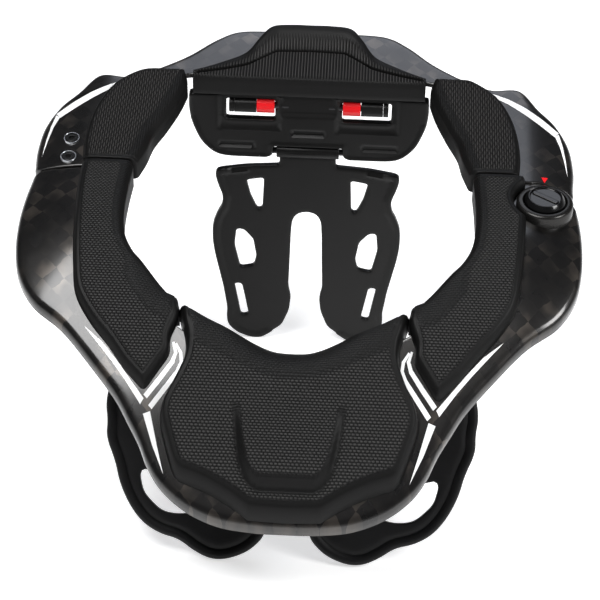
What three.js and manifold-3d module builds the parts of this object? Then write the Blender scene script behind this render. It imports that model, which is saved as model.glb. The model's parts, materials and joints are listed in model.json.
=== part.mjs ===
import * as THREE from 'three';
import { mergeVertices } from 'three/addons/utils/BufferGeometryUtils.js';
import Module from 'manifold-3d';

const wasm = await Module();
wasm.setup();

// Motocross neck brace, in millimetres.
// Drawn in the table frame: the arms are level at z = 0, x runs across, y runs to the rear.
// The whole is then leant so that it stands on the strut feet and the chest pads.

// Overall sizes of the ring
const HALF_WIDTH = 156;
const REAR_REACH = 166;
const FRONT_REACH = 144;
const JOINT_Y = 43;
const FRONT_DROP = 91;
const REAR_RISE = 17;
const SIDE_SPAN = 41;
const SIDE_FALL = 7;
const SIDE_FLAT = HALF_WIDTH - SIDE_SPAN;
const FAR = 2 * HALF_WIDTH;

// Shell of the two frame halves
const SHELL = 2.6;
const LIP = 6;
const JOINT_GAP = 1.6;
const NECK_LAP = 7.5;

// Clearances
const SEAT_GAP = 0.35;
const FIT = 0.35;
const FACET_GAP = 0.3;
const PAD_SPACE = 1.2;

// Pads of the arms and of the front
const PAD_CROWN = 7;
const CENTRE_CROWN = 9;
const SEAM_WIDTH = 6;
const NECK_WIDTH = 9;
const ROLL_DEPTH = 10;
const ROLL_WIDTH = 6.3;
const RIB_BOW = 7;
const BOW_SECTIONS = 5;

// Hinge of the front half with its release knob
const KNOB_INSET = 21;
const KNOB_SETBACK = 20;
const KNOB_X = HALF_WIDTH - KNOB_INSET;
const KNOB_Y = JOINT_Y - KNOB_SETBACK;
const KNOB_R = 11.7;
const KNOB_TOP_R = 9.6;
const KNOB_HEIGHT = 5.4;
const KNOB_BAND = 2.2;
const KNOB_DISH = 0.8;
const KNOB_RIM = 1.5;
const COLLAR_INNER_R = 12.1;
const COLLAR_HEIGHT = 2.8;
const KNOB_SLOT_WIDTH = 2.2;
const KNOB_SLOT_DEPTH = 2.6;
const KNOB_SLOT_TURN = THREE.MathUtils.degToRad(-35);
const BOSS_R = 15.8;
const BOSS_TOP = 0.2;
const BOSS_DROP = 6.6;
const SHANK_R = 5;
const SHANK_WALL = 3;
const SHANK_END = 2;
const TONGUE_TOP = -10;
const TONGUE_THICK = 3;
const STRAP_INNER = 23;
const STRAP_OUTER = 7;
const STRAP_ROOT = 20;
const STRAP_START = 3;
const HINGE_NOSE_R = 13;
const HINGE_END_R = 19.2;
const HINGE_CLEAR_R = 21.9;
const HOLLOW_END = 45;

// Latch tongue on the other side
const LATCH_INSET = 22;
const LATCH_X = LATCH_INSET - HALF_WIDTH;
const LATCH_WIDTH = 15;
const LATCH_TOP = -8.6;
const LATCH_THICK = 3;
const LATCH_FRONT = JOINT_Y - 17;
const LATCH_BACK = JOINT_Y + 31;
const SCREW_Y = [JOINT_Y + 8, JOINT_Y + 23];
const SCREW_HEAD_R = 4.5;
const SCREW_HEAD = 1.6;
const SCREW_CHAMFER = 0.8;
const SCREW_SOCKET_R = 1.6;
const SCREW_SOCKET = 1.1;
const SCREW_R = 2;
const SCREW_SINK = 1.2;
const SCREW_BOSS_WALL = 2.5;

// Upper plate behind the neck
const PLATE_SETBACK = 5.1;
const PLATE_DROP = 1.9;
const PLATE_HALF = 71.6;
const PLATE_HEIGHT = 40.3;
const PLATE_THICK = 6;
const WINDOW_IN = 20;
const WINDOW_OUT = 50;
const WINDOW_DEPTH = 13.3;
const GROOVE_WIDTH = 22;
const GROOVE_HEIGHT = 4;
const GROOVE_DEPTH = 1.6;

// Pins, knuckles and sleeves that carry the plate
const PIN_R = 2;
const PIN_DROP = 3.5;
const PIN_SEAT = 8;
const KNUCKLE_R = 4.9;
const KNUCKLE_LENGTH = 13;
const BOSS_WALL_R = 4.3;
const SLEEVE_LENGTH = 10.5;
const BRACKET_WALL = 3.5;
const BRACKET_FLANGE = 20;
const BRACKET_WEB = 4.5;

// Strut that hangs from the plate
const BARREL_R = 4.3;
const BARREL_HALF = 19.3;
const BARREL_RISE = 3.9;
const BARREL_SPACE = 1.4;
const STRUT_NECK = 10.5;
const STRUT_HALF = 58.8;
const STRUT_LENGTH = 139.3;
const STRUT_THICK = 4.4;
const EDGE = 0.8;

// Chest pads below the front half, in a plane of their own, and their bracket
const CHEST_HALF = 0.66 * HALF_WIDTH;
const CHEST_RISE = 80;
const CHEST_THICK = 6;
const CHEST_INSET = 43;
const CHEST_DROP = 41.6;
const CHEST_ROOT_Y = CHEST_INSET - FRONT_REACH;
const CHEST_ROOT_Z = -FRONT_DROP - CHEST_DROP;
const CHEST_LEAN = THREE.MathUtils.degToRad(40);
const BRACKET_HALF = 26;
const HANGER_FRONT = 30;
const HANGER_BACK = 60;
const HANGER_FOOT = [12, 36, 42, 58];

// Height of the table from the joint to the front rim: share of the run, share of the drop
const FRONT_PROFILE = [
  [-0.2, -0.02], [0, 0], [0.235, 0.041], [0.44, 0.186],
  [0.665, 0.465], [0.87, 0.785], [1, 1], [1.17, 1.26],
];
// The same from the joint to the rear rim
const REAR_PROFILE = [
  [-0.2, -0.12], [0, 0], [0.29, 0.29], [0.54, 0.59],
  [0.71, 0.765], [0.87, 0.92], [1, 1], [1.2, 1.1],
];

// Plan of the front half, joint to middle.
// Columns: rim across, rim along, seam across, seam along, neck across, neck along
const FRONT_RING = [
  [0.981, -0.059, 0.801, -0.059, 0.628, -0.059],
  [0.981, 0.016, 0.801, 0.011, 0.635, 0.016],
  [0.994, 0.112, 0.801, 0.112, 0.641, 0.112],
  [1.000, 0.214, 0.795, 0.209, 0.641, 0.209],
  [0.994, 0.316, 0.788, 0.299, 0.622, 0.289],
  [0.968, 0.406, 0.776, 0.396, 0.583, 0.342],
  [0.904, 0.487, 0.756, 0.481, 0.538, 0.385],
  [0.795, 0.556, 0.699, 0.551, 0.500, 0.422],
  [0.686, 0.642, 0.628, 0.610, 0.468, 0.452],
  [0.596, 0.717, 0.571, 0.663, 0.442, 0.473],
  [0.545, 0.773, 0.519, 0.706, 0.423, 0.489],
  [0.506, 0.818, 0.462, 0.749, 0.394, 0.505],
  [0.471, 0.869, 0.439, 0.824, 0.340, 0.529],
  [0.423, 0.914, 0.385, 0.885, 0.282, 0.551],
  [0.340, 0.957, 0.282, 0.933, 0.218, 0.570],
  [0.231, 0.987, 0.167, 0.976, 0.147, 0.586],
  [0.115, 0.998, 0.083, 0.984, 0.071, 0.596],
  [0.000, 1.000, 0.000, 0.984, 0.000, 0.599],
];
const FRONT_SIDE_PAD = [1, 10];
const FRONT_MIDDLE_PAD = 11;

// Plan of the rear half, joint to middle, in the same columns
const REAR_RING = [
  [0.981, -0.089, 0.801, -0.089, 0.622, -0.089],
  [0.981, 0.024, 0.801, 0.016, 0.615, 0.016],
  [0.987, 0.154, 0.808, 0.138, 0.583, 0.114],
  [0.974, 0.301, 0.801, 0.268, 0.564, 0.211],
  [0.929, 0.423, 0.782, 0.382, 0.526, 0.309],
  [0.865, 0.512, 0.744, 0.496, 0.500, 0.390],
  [0.795, 0.626, 0.692, 0.577, 0.481, 0.455],
  [0.692, 0.622, 0.622, 0.634, 0.468, 0.512],
  [0.628, 0.659, 0.538, 0.642, 0.462, 0.545],
  [0.571, 0.695, 0.474, 0.642, 0.455, 0.577],
  [0.468, 0.789, 0.442, 0.642, 0.442, 0.581],
  [0.372, 0.911, 0.346, 0.699, 0.346, 0.581],
  [0.288, 0.984, 0.244, 0.772, 0.256, 0.581],
  [0.160, 1.000, 0.154, 0.894, 0.154, 0.581],
  [0.000, 1.000, 0.000, 0.911, 0.000, 0.581],
];
const REAR_SIDE_PAD = [1, 9];

// Rear middle pad: across, share of its depth, share of its rise at the rear edge
const REAR_MIDDLE = [
  [1, 0.19, 0.02], [0.9, 0.26, 0.06], [0.75, 0.38, 0.14], [0.56, 0.56, 0.30],
  [0.44, 0.80, 0.72], [0.34, 0.96, 0.96], [0.17, 1, 1], [0, 1, 1],
];
const REAR_PAD_HALF = 0.439 * HALF_WIDTH;
const REAR_PAD_FRONT = JOINT_Y + REAR_RING.at(-1)[5] * (REAR_REACH - JOINT_Y);
const REAR_PAD_DEPTH = REAR_REACH - REAR_PAD_FRONT - 11;
const REAR_PAD_TOP = REAR_RISE + 12;
const REAR_PAD_RISE = 4.9;
const REAR_PAD_FALL = 11.7;
const REAR_PAD_EDGE = 2.5;
// Where its ridge rises from the top: share of the depth, share of the rise
const REAR_PAD_RIDGE = [[0.42, 0.25], [0.47, 0.5], [0.94, 1]];

// Upper plate outline, one half: across as share of its half width, share of its depth
const PLATE_EDGE = [
  [1, 0], [1, 0.14], [0.985, 0.34], [0.955, 0.51], [0.915, 0.69],
  [0.87, 0.81], [0.796, 0.94], [0.70, 1], [0.44, 1],
];

// Grooves in the plate's front face: across as share of its half width, share of its depth
const PLATE_GROOVES = [[-0.6, 0.777], [0, 0.541], [0.6, 0.777]];

// Strut outline, one half: across as share of its half width, share of its length
const STRUT_EDGE = [
  [0.34, 0], [0.65, 0.011], [0.937, 0.034], [0.963, 0.057], [0.935, 0.11], [0.881, 0.177],
  [0.895, 0.233], [0.94, 0.266], [0.99, 0.327], [1, 0.373], [0.997, 0.437], [0.978, 0.503],
  [0.891, 0.694], [0.85, 0.827], [0.859, 0.868], [0.85, 0.922], [0.753, 0.971], [0.60, 1],
  [0.48, 1], [0.405, 0.977], [0.25, 0.921], [0.172, 0.83], [0.153, 0.748], [0.184, 0.691],
  [0.172, 0.523], [0.165, 0.396], [0.153, 0.306], [0.11, 0.27], [0.043, 0.255],
];
const STRUT_HOLES = [
  [[0.452, 0.073], [0.636, 0.088], [0.59, 0.175], [0.52, 0.248], [0.468, 0.24]],
  [
    [0.743, 0.362], [0.665, 0.365], [0.566, 0.417], [0.532, 0.516],
    [0.56, 0.57], [0.706, 0.585], [0.765, 0.459],
  ],
  [[0.772, 0.68], [0.69, 0.679], [0.616, 0.863], [0.70, 0.872]],
];

// Chest pad outline, across as share of its half width, share of its rise above the root
const CHEST_EDGE = [
  [0.115, -0.06], [0.135, -0.125], [0.21, -0.215], [0.32, -0.27], [0.41, -0.27], [0.50, -0.215],
  [0.58, -0.14], [0.68, -0.112], [0.78, -0.037], [0.855, 0.087], [0.91, 0.237], [0.935, 0.375],
  [0.99, 0.537], [0.985, 0.66], [1, 0.775], [0.98, 0.925], [0.92, 1.06], [0.72, 1.10],
  [0.50, 1.02], [0.33, 0.86], [0.20, 0.62], [0.135, 0.35], [0.115, 0.10],
];
const CHEST_SLOT = [
  [0.48, 0.06], [0.565, 0.03], [0.65, 0.037], [0.70, 0.07], [0.777, 0.20], [0.815, 0.335],
  [0.765, 0.44], [0.68, 0.36], [0.57, 0.22],
];

// Interpolated value of a two-column profile
function profileAt(rows, t) {
  let i = 1;
  while (i < rows.length - 2 && t > rows[i + 1][0]) {
    i += 1;
  }
  const [p, a, b, q] = [rows[i - 1], rows[i], rows[i + 1], rows[i + 2] || rows[i + 1]];
  const span = b[0] - a[0];
  const f = THREE.MathUtils.clamp((t - a[0]) / span, -1, 2);
  const slopeA = (b[1] - p[1]) / (b[0] - p[0]);
  const slopeB = (q[1] - a[1]) / (q[0] - a[0]);
  const ff = f * f;
  const fff = ff * f;
  return (2 * fff - 3 * ff + 1) * a[1] + (fff - 2 * ff + f) * span * slopeA
    + (3 * ff - 2 * fff) * b[1] + (fff - ff) * span * slopeB;
}

// Top of the table at a place
function tableZ(x, y) {
  const side = Math.max(0, Math.abs(x) - SIDE_FLAT) / SIDE_SPAN;
  const along = y < JOINT_Y
    ? -FRONT_DROP * profileAt(FRONT_PROFILE, (JOINT_Y - y) / (FRONT_REACH + JOINT_Y))
    : REAR_RISE * profileAt(REAR_PROFILE, (y - JOINT_Y) / (REAR_REACH - JOINT_Y));
  return along - SIDE_FALL * side * side;
}

// Smooth curve through plan points, with a number of steps between each two
function smooth(points, steps) {
  const out = [];
  const last = points.length - 1;
  for (let i = 0; i < last; i += 1) {
    const a = points[Math.max(0, i - 1)];
    const b = points[i];
    const c = points[i + 1];
    const d = points[Math.min(last, i + 2)];
    for (let s = 0; s < steps; s += 1) {
      const t = s / steps;
      const tt = t * t;
      const ttt = tt * t;
      out.push(b.map((v, k) => 0.5 * (2 * v + (c[k] - a[k]) * t
        + (2 * a[k] - 5 * v + 4 * c[k] - d[k]) * tt
        + (3 * v - a[k] - 3 * c[k] + d[k]) * ttt)));
    }
  }
  out.push(points[last]);
  return out;
}

// Ring rows in millimetres: columns rimX, rimY, seamX, seamY, neckX, neckY
function ringRows(rows, toFront) {
  const run = toFront ? -(FRONT_REACH + JOINT_Y) : REAR_REACH - JOINT_Y;
  return rows.map((row) => row.map((v, k) => (k % 2 ? JOINT_Y + v * run : v * HALF_WIDTH)));
}

function mirrored(rows) {
  return rows.map((row) => row.map((v, k) => (k % 2 ? v : -v)));
}

// Both sides of a ring in one run, from the right joint round to the left
function fullRing(rows) {
  return rows.concat(mirrored(rows).reverse().slice(1));
}

function geometryOf(positions, triangles) {
  const g = new THREE.BufferGeometry();
  g.setAttribute('position', new THREE.Float32BufferAttribute(positions, 3));
  g.setIndex(triangles);
  return g;
}

// Closed skin over a row of like sections, ends filled
function loft(sections, firstFace, lastFace) {
  const n = sections[0].length;
  const positions = [];
  const triangles = [];
  sections.forEach((s) => s.forEach((p) => positions.push(...p)));
  for (let i = 0; i + 1 < sections.length; i += 1) {
    for (let k = 0; k < n; k += 1) {
      const a = i * n + k;
      const b = i * n + ((k + 1) % n);
      triangles.push(a, a + n, b, b, a + n, b + n);
    }
  }
  const end = (sections.length - 1) * n;
  const flat = (face) => face.map((p) => new THREE.Vector2(p[0], p[1]));
  const fill = (face) => THREE.ShapeUtils.triangulateShape(flat(face), []);
  fill(firstFace).forEach(([a, b, c]) => triangles.push(a, c, b));
  fill(lastFace).forEach(([a, b, c]) => triangles.push(a + end, b + end, c + end));
  return outward(geometryOf(positions, triangles));
}

// Turns a closed skin so that it faces out
function outward(g) {
  const p = g.attributes.position;
  const index = g.index.array;
  let volume = 0;
  const [a, b, c] = [new THREE.Vector3(), new THREE.Vector3(), new THREE.Vector3()];
  for (let i = 0; i < index.length; i += 3) {
    a.fromBufferAttribute(p, index[i]);
    b.fromBufferAttribute(p, index[i + 1]);
    c.fromBufferAttribute(p, index[i + 2]);
    volume += a.dot(b.cross(c));
  }
  if (volume < 0) {
    for (let i = 0; i < index.length; i += 3) {
      [index[i + 1], index[i + 2]] = [index[i + 2], index[i + 1]];
    }
  }
  return g;
}

// Sections given as [distance, height] pairs on lines of a ring
function ringLoft(lines) {
  const sections = lines.map(({ from, to, section }) => {
    const run = Math.hypot(to[0] - from[0], to[1] - from[1]);
    return section.map(([distance, lift, bow]) => {
      const f = distance / run;
      const x = from[0] + f * (to[0] - from[0]) + (bow || 0);
      const y = from[1] + f * (to[1] - from[1]);
      return [x, y, tableZ(x, y) + lift];
    });
  });
  return loft(sections, lines[0].section, lines[lines.length - 1].section);
}

// Places across a shell or pad where its section follows the table
const ACROSS = [0.38, 0.7];

// Shell of one frame half, with its rim turned down
function frameLoft(rows) {
  return ringLoft(rows.map(([rimX, rimY, , , neckX, neckY]) => {
    const width = Math.hypot(rimX - neckX, rimY - neckY) - NECK_LAP;
    return {
      from: [rimX, rimY],
      to: [neckX, neckY],
      section: [
        [0, -LIP], [0, -0.45 * LIP], [0.5 * SHELL, -0.15 * LIP], [1.8 * SHELL, 0],
        ...ACROSS.map((f) => [f * width, 0]), [width, 0], [width, -SHELL],
        ...ACROSS.toReversed().map((f) => [f * width, -SHELL]),
        [2.6 * SHELL, -SHELL], [1.5 * SHELL, -0.5 * LIP], [1.05 * SHELL, -LIP],
      ],
    };
  }));
}

// Section of a pad from its seam on the shell to its roll at the neck
function padSection(run, crown, bowAt) {
  const roll = Math.min(ROLL_WIDTH, 0.5 * run);
  const seam = Math.min(SEAM_WIDTH, 0.18 * run);
  const neck = Math.min(NECK_WIDTH, 0.36 * run);
  const points = [
    [0, SEAT_GAP], [0, 0.12 * crown + SEAT_GAP], [0.35 * seam, 0.6 * crown], [seam, 0.8 * crown],
    [0.5 * (seam + run - neck), crown], [run - neck, 0.86 * crown], [run - 0.45 * neck, 0.36 * crown],
    [run - 0.12 * neck, -0.2 * ROLL_DEPTH], [run, -0.6 * ROLL_DEPTH], [run - 0.2 * roll, -ROLL_DEPTH],
    [run - roll, -0.93 * ROLL_DEPTH], [run - roll, SEAT_GAP],
    ...ACROSS.toReversed().map((f) => [f * (run - roll), SEAT_GAP]),
  ];
  return points.map(([d, lift]) => [d, lift, bowAt ? bowAt(d / run) : 0]);
}

function padLoft(rows, crownAt, bowFor) {
  return ringLoft(rows.map(([, , seamX, seamY, neckX, neckY], i) => ({
    from: [seamX, seamY],
    to: [neckX, neckY],
    section: padSection(Math.hypot(seamX - neckX, seamY - neckY), crownAt(i), bowFor && bowFor(i)),
  })));
}

// Solid joining and cutting
function solidOf(geometry) {
  const g = geometry.clone();
  g.deleteAttribute('normal');
  g.deleteAttribute('uv');
  const merged = mergeVertices(g, 1e-4);
  return new wasm.Manifold(new wasm.Mesh({
    numProp: 3,
    vertProperties: Float32Array.from(merged.attributes.position.array),
    triVerts: Uint32Array.from(merged.index.array),
  }));
}

function geometryFrom(solid) {
  const mesh = solid.getMesh();
  return geometryOf(Array.from(mesh.vertProperties), Array.from(mesh.triVerts));
}

function cut(base, ...tools) {
  return tools.reduce((solid, tool) => solid.subtract(solidOf(tool)), base);
}

function join(base, ...tools) {
  return tools.reduce((solid, tool) => solid.add(solidOf(tool)), base);
}

// Upright cylinder between two heights
function post(x, y, radius, low, high, sides = 16) {
  const g = new THREE.CylinderGeometry(radius, radius, high - low, sides);
  g.rotateX(Math.PI / 2);
  g.translate(x, y, (low + high) / 2);
  return g;
}

// Cylinder along x
function rod(x0, x1, y, z, radius, sides = 16) {
  const g = new THREE.CylinderGeometry(radius, radius, x1 - x0, sides);
  g.rotateZ(Math.PI / 2);
  g.translate((x0 + x1) / 2, y, z);
  return g;
}

// Box between two corners
function block(low, high) {
  const g = new THREE.BoxGeometry(high[0] - low[0], high[1] - low[1], high[2] - low[2]);
  g.translate((low[0] + high[0]) / 2, (low[1] + high[1]) / 2, (low[2] + high[2]) / 2);
  return g;
}

// Straight prism of a plan outline
function prism(points, low, high) {
  const shape = new THREE.Shape(points.map((p) => new THREE.Vector2(p[0], p[1])));
  const g = new THREE.ExtrudeGeometry(shape, { depth: high - low, bevelEnabled: false });
  g.translate(0, 0, low);
  return g;
}

// Flat shape, its outline counter-clockwise and its holes clockwise
function shapeOf(outline, holes = []) {
  const wound = (points, clockwise) => {
    const path = points.map((p) => new THREE.Vector2(p[0], p[1]));
    return THREE.ShapeUtils.isClockWise(path) === clockwise ? path : path.reverse();
  };
  const shape = new THREE.Shape(wound(outline, false));
  shape.holes = holes.map((hole) => new THREE.Path(wound(hole, true)));
  return shape;
}

// Plate of a given outline with softened edges, its middle plane at zero
function softPlate(outline, holes, thick) {
  const g = new THREE.ExtrudeGeometry(shapeOf(outline, holes), {
    depth: thick - 2 * EDGE,
    bevelEnabled: true,
    bevelThickness: EDGE,
    bevelSize: EDGE,
    bevelOffset: -EDGE,
    bevelSegments: 1,
  });
  g.translate(0, 0, EDGE - thick / 2);
  return g;
}

// Turns a section drawn as along, up into a solid of a given width across
function acrossFrom(shape, x, width) {
  const g = new THREE.ExtrudeGeometry(shape, { depth: width, bevelEnabled: false });
  g.applyMatrix4(new THREE.Matrix4().makeBasis(
    new THREE.Vector3(0, 1, 0), new THREE.Vector3(0, 0, 1), new THREE.Vector3(1, 0, 0)));
  g.translate(x, 0, 0);
  return g;
}

// Solid turned about the vertical line through a place
function turned(profile, x, y, sides) {
  const g = new THREE.LatheGeometry(profile.map((p) => new THREE.Vector2(p[0], p[1])), sides);
  g.rotateX(Math.PI / 2);
  g.translate(x, y, 0);
  return g;
}

// Two places across on one side, lowest first
function span(side, a, b) {
  return [side * a, side * b].sort((p, q) => p - q);
}

function bothSides(half) {
  return half.concat(half.map(([x, z]) => [-x, z]).reverse());
}

// Points of an arc in plan
function arc(x, y, radius, from, to, steps) {
  return Array.from({ length: steps + 1 }, (unused, i) => {
    const a = THREE.MathUtils.degToRad(from + (i / steps) * (to - from));
    return [x + radius * Math.cos(a), y + radius * Math.sin(a)];
  });
}

const colour = {
  shell: new THREE.Color(0x24211f),
  foam: new THREE.Color(0x141414),
  chest: new THREE.Color(0x111112),
  plastic: new THREE.Color(0x1b1b1c),
  red: new THREE.Color(0xc01018),
  steel: new THREE.Color(0x8c8f93),
};

function part(name, geometry, tone, rough) {
  geometry.deleteAttribute('uv');
  geometry.computeVertexNormals();
  const material = new THREE.MeshStandardMaterial({ color: tone, roughness: rough });
  const mesh = new THREE.Mesh(geometry, material);
  mesh.name = name;
  return mesh;
}

const group = new THREE.Group();
group.name = 'neck_brace';
const table = new THREE.Group();
table.name = 'table';
group.add(table);

const frontRows = ringRows(FRONT_RING, true);
const rearRows = ringRows(REAR_RING, false);
const jointFront = JOINT_Y - JOINT_GAP / 2;
const jointRear = JOINT_Y + JOINT_GAP / 2;

// Hinge tongue: a round nose on the hinge axis and a strap back under the rear arm
const strapX = [KNOB_X - STRAP_INNER, KNOB_X - STRAP_OUTER];
const strapBack = jointRear + STRAP_ROOT;
const tongueLow = TONGUE_TOP - TONGUE_THICK;
const nose = arc(KNOB_X, KNOB_Y, HINGE_NOSE_R, -150, 100, 16);
const tonguePlan = [[strapX[0], KNOB_Y], ...nose, [strapX[1], strapBack], [strapX[0], strapBack]];
const tongue = prism(tonguePlan, tongueLow, TONGUE_TOP);
const tongueRoot = block(
  [strapX[0], jointRear + STRAP_START, tongueLow],
  [strapX[1], strapBack, -0.5 * SHELL],
);

// Rear half, its right arm hollowed round the hinge
const hollowFrom = 180 - THREE.MathUtils.radToDeg(Math.asin((jointRear - KNOB_Y) / HINGE_CLEAR_R));
const hollow = arc(KNOB_X, KNOB_Y, HINGE_CLEAR_R, hollowFrom, HOLLOW_END, 12);
const rearCutPlan = [[-FAR, 0], [-FAR, jointRear], ...hollow, [FAR, hollow.at(-1)[1]], [FAR, 0]];
const rearJointCut = prism(rearCutPlan, -FAR, FAR);
let rear = cut(solidOf(frameLoft(smooth(fullRing(rearRows), 2))), rearJointCut);
rear = join(rear, tongue, tongueRoot);
rear = cut(rear, post(KNOB_X, KNOB_Y, SHANK_R + FIT, -FAR, FAR));
SCREW_Y.forEach((y) => {
  const seat = tableZ(LATCH_X, y) - SCREW_SINK;
  const headSeat = post(LATCH_X, y, SCREW_HEAD_R + FIT, seat, FAR);
  rear = cut(rear, headSeat, post(LATCH_X, y, SCREW_R + FIT, -FAR, FAR));
});
table.add(part('rear_frame', geometryFrom(rear), colour.shell, 0.35));

// Front half, its right end rounded about the hinge, with the boss and collar about the knob
const roundEnd = arc(KNOB_X, KNOB_Y, HINGE_END_R, 90, 10, 14);
const frontCutPlan = [[-FAR, jointFront], ...roundEnd, [FAR, roundEnd.at(-1)[1]], [FAR, FAR], [-FAR, FAR]];
const frontJointCut = prism(frontCutPlan, -FAR, FAR);
let front = cut(solidOf(frameLoft(smooth(fullRing(frontRows), 2))), frontJointCut);
front = join(front, post(KNOB_X, KNOB_Y, BOSS_R, -BOSS_DROP, BOSS_TOP + COLLAR_HEIGHT, 32));
front = cut(front, post(KNOB_X, KNOB_Y, COLLAR_INNER_R, BOSS_TOP, FAR, 32));
front = join(front, post(KNOB_X, KNOB_Y, SHANK_R + SHANK_WALL, TONGUE_TOP + SEAT_GAP, 0));
front = cut(front, post(KNOB_X, KNOB_Y, SHANK_R + FIT, -FAR, FAR));
table.add(part('front_frame', geometryFrom(front), colour.shell, 0.35));

// Release knob on the hinge axis
const knobFoot = BOSS_TOP + SEAT_GAP;
const knobTop = knobFoot + KNOB_HEIGHT;
const knob = turned([
  [0, tongueLow - SHANK_END], [SHANK_R, tongueLow - SHANK_END], [SHANK_R, knobFoot], [KNOB_R, knobFoot],
  [KNOB_R, knobFoot + KNOB_BAND], [KNOB_TOP_R, knobTop],
  [KNOB_TOP_R - KNOB_RIM, knobTop - KNOB_DISH], [0, knobTop - KNOB_DISH],
], KNOB_X, KNOB_Y, 28);
const knobSlot = block([-KNOB_TOP_R, -KNOB_SLOT_WIDTH / 2, knobTop - KNOB_SLOT_DEPTH],
  [KNOB_TOP_R, KNOB_SLOT_WIDTH / 2, knobTop + KNOB_SLOT_DEPTH]);
knobSlot.rotateZ(KNOB_SLOT_TURN);
knobSlot.translate(KNOB_X, KNOB_Y, 0);
table.add(part('release_knob', geometryFrom(cut(solidOf(knob), knobSlot)), colour.plastic, 0.4));

// Latch tongue with its two screws
let latch = solidOf(block([LATCH_X - LATCH_WIDTH / 2, LATCH_FRONT, LATCH_TOP - LATCH_THICK],
  [LATCH_X + LATCH_WIDTH / 2, LATCH_BACK, LATCH_TOP]));
const screwBossR = SCREW_R + SCREW_BOSS_WALL;
SCREW_Y.forEach((y) => {
  const bossTop = tableZ(LATCH_X - screwBossR, y) - SHELL - SEAT_GAP;
  latch = join(latch, post(LATCH_X, y, screwBossR, LATCH_TOP - LATCH_THICK, bossTop));
  latch = cut(latch, post(LATCH_X, y, SCREW_R + FIT, -FAR, FAR));
});
table.add(part('latch_tongue', geometryFrom(latch), colour.plastic, 0.5));
SCREW_Y.forEach((y, i) => {
  const seat = tableZ(LATCH_X, y) - SCREW_SINK + FIT;
  const head = seat + SCREW_HEAD;
  const screw = turned([
    [0, LATCH_TOP - LATCH_THICK], [SCREW_R, LATCH_TOP - LATCH_THICK], [SCREW_R, seat], [SCREW_HEAD_R, seat],
    [SCREW_HEAD_R, head - SCREW_CHAMFER], [SCREW_HEAD_R - SCREW_CHAMFER, head], [SCREW_SOCKET_R, head],
    [SCREW_SOCKET_R, head - SCREW_SOCKET], [0, head - SCREW_SOCKET],
  ], LATCH_X, y, 12);
  table.add(part(`latch_screw_${i + 1}`, geometryFrom(solidOf(screw)), colour.steel, 0.4));
});

// Pads of the arms, right and left; the knob's boss bites into the edge of one
const sideCrown = () => PAD_CROWN;
const knobRelief = post(KNOB_X, KNOB_Y, BOSS_R + PAD_SPACE, -FAR, FAR, 32);
[['right', 1], ['left', -1]].forEach(([side, sign]) => {
  const turn = (rows) => (sign > 0 ? rows : mirrored(rows));
  const frontPad = turn(frontRows.slice(FRONT_SIDE_PAD[0], FRONT_SIDE_PAD[1] + 1));
  const rearPad = turn(rearRows.slice(REAR_SIDE_PAD[0], REAR_SIDE_PAD[1] + 1));
  const frontSolid = cut(solidOf(padLoft(smooth(frontPad, 2), sideCrown)), knobRelief);
  table.add(part(`front_pad_${side}`, geometryFrom(frontSolid), colour.foam, 0.9));
  table.add(part(`rear_pad_${side}`, padLoft(smooth(rearPad, 2), sideCrown), colour.foam, 0.9));
});

// Front middle pad, its sides drawn in towards the neck
const middleRows = smooth(fullRing(frontRows.slice(FRONT_MIDDLE_PAD)), 2);
const middleEnd = middleRows.length - 1;
const middleBow = (i) => {
  const edge = Math.max(0, 1 - Math.min(i, middleEnd - i) / BOW_SECTIONS);
  const side = i < middleEnd / 2 ? -1 : 1;
  return (f) => side * RIB_BOW * edge * edge * Math.sin(Math.PI * THREE.MathUtils.clamp(f, 0, 1));
};
table.add(part('front_pad_middle', padLoft(middleRows, () => CENTRE_CROWN, middleBow), colour.foam, 0.9));

// Rear middle pad, highest at its rear edge
const neckLevel = tableZ(0, REAR_PAD_FRONT);
const padFloor = neckLevel - REAR_PAD_FALL;
const padCrest = neckLevel + REAR_PAD_RISE;
const rearMiddle = REAR_MIDDLE.concat(REAR_MIDDLE.slice(0, -1).reverse().map(([x, d, r]) => [-x, d, r]));
const rearSections = rearMiddle.map(([across, depth, rise]) => {
  const x = across * REAR_PAD_HALF;
  const back = REAR_PAD_FRONT + depth * REAR_PAD_DEPTH;
  const shelf = REAR_PAD_FRONT + ROLL_WIDTH;
  const climb = rise * (REAR_PAD_TOP - padCrest);
  const along = (f) => REAR_PAD_FRONT + f * (back - REAR_PAD_FRONT);
  const ridge = REAR_PAD_RIDGE.map(([f, h]) => [along(f), padCrest + h * climb]);
  return [
    [REAR_PAD_FRONT + 0.4 * REAR_PAD_EDGE, padFloor], [REAR_PAD_FRONT, padFloor + REAR_PAD_EDGE],
    [REAR_PAD_FRONT, padCrest - REAR_PAD_EDGE], [REAR_PAD_FRONT + 0.5 * REAR_PAD_EDGE, padCrest],
    ...ridge, [back, padCrest + climb - REAR_PAD_EDGE],
    [back, tableZ(x, back) + SEAT_GAP], [shelf, tableZ(x, shelf) + SEAT_GAP], [shelf, padFloor],
  ].map(([y, z]) => [x, y, z]);
});
const rearFace = rearSections[0].map(([, y, z]) => [y, z]);
table.add(part('rear_pad_middle', loft(rearSections, rearFace, rearFace), colour.foam, 0.9));

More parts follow.
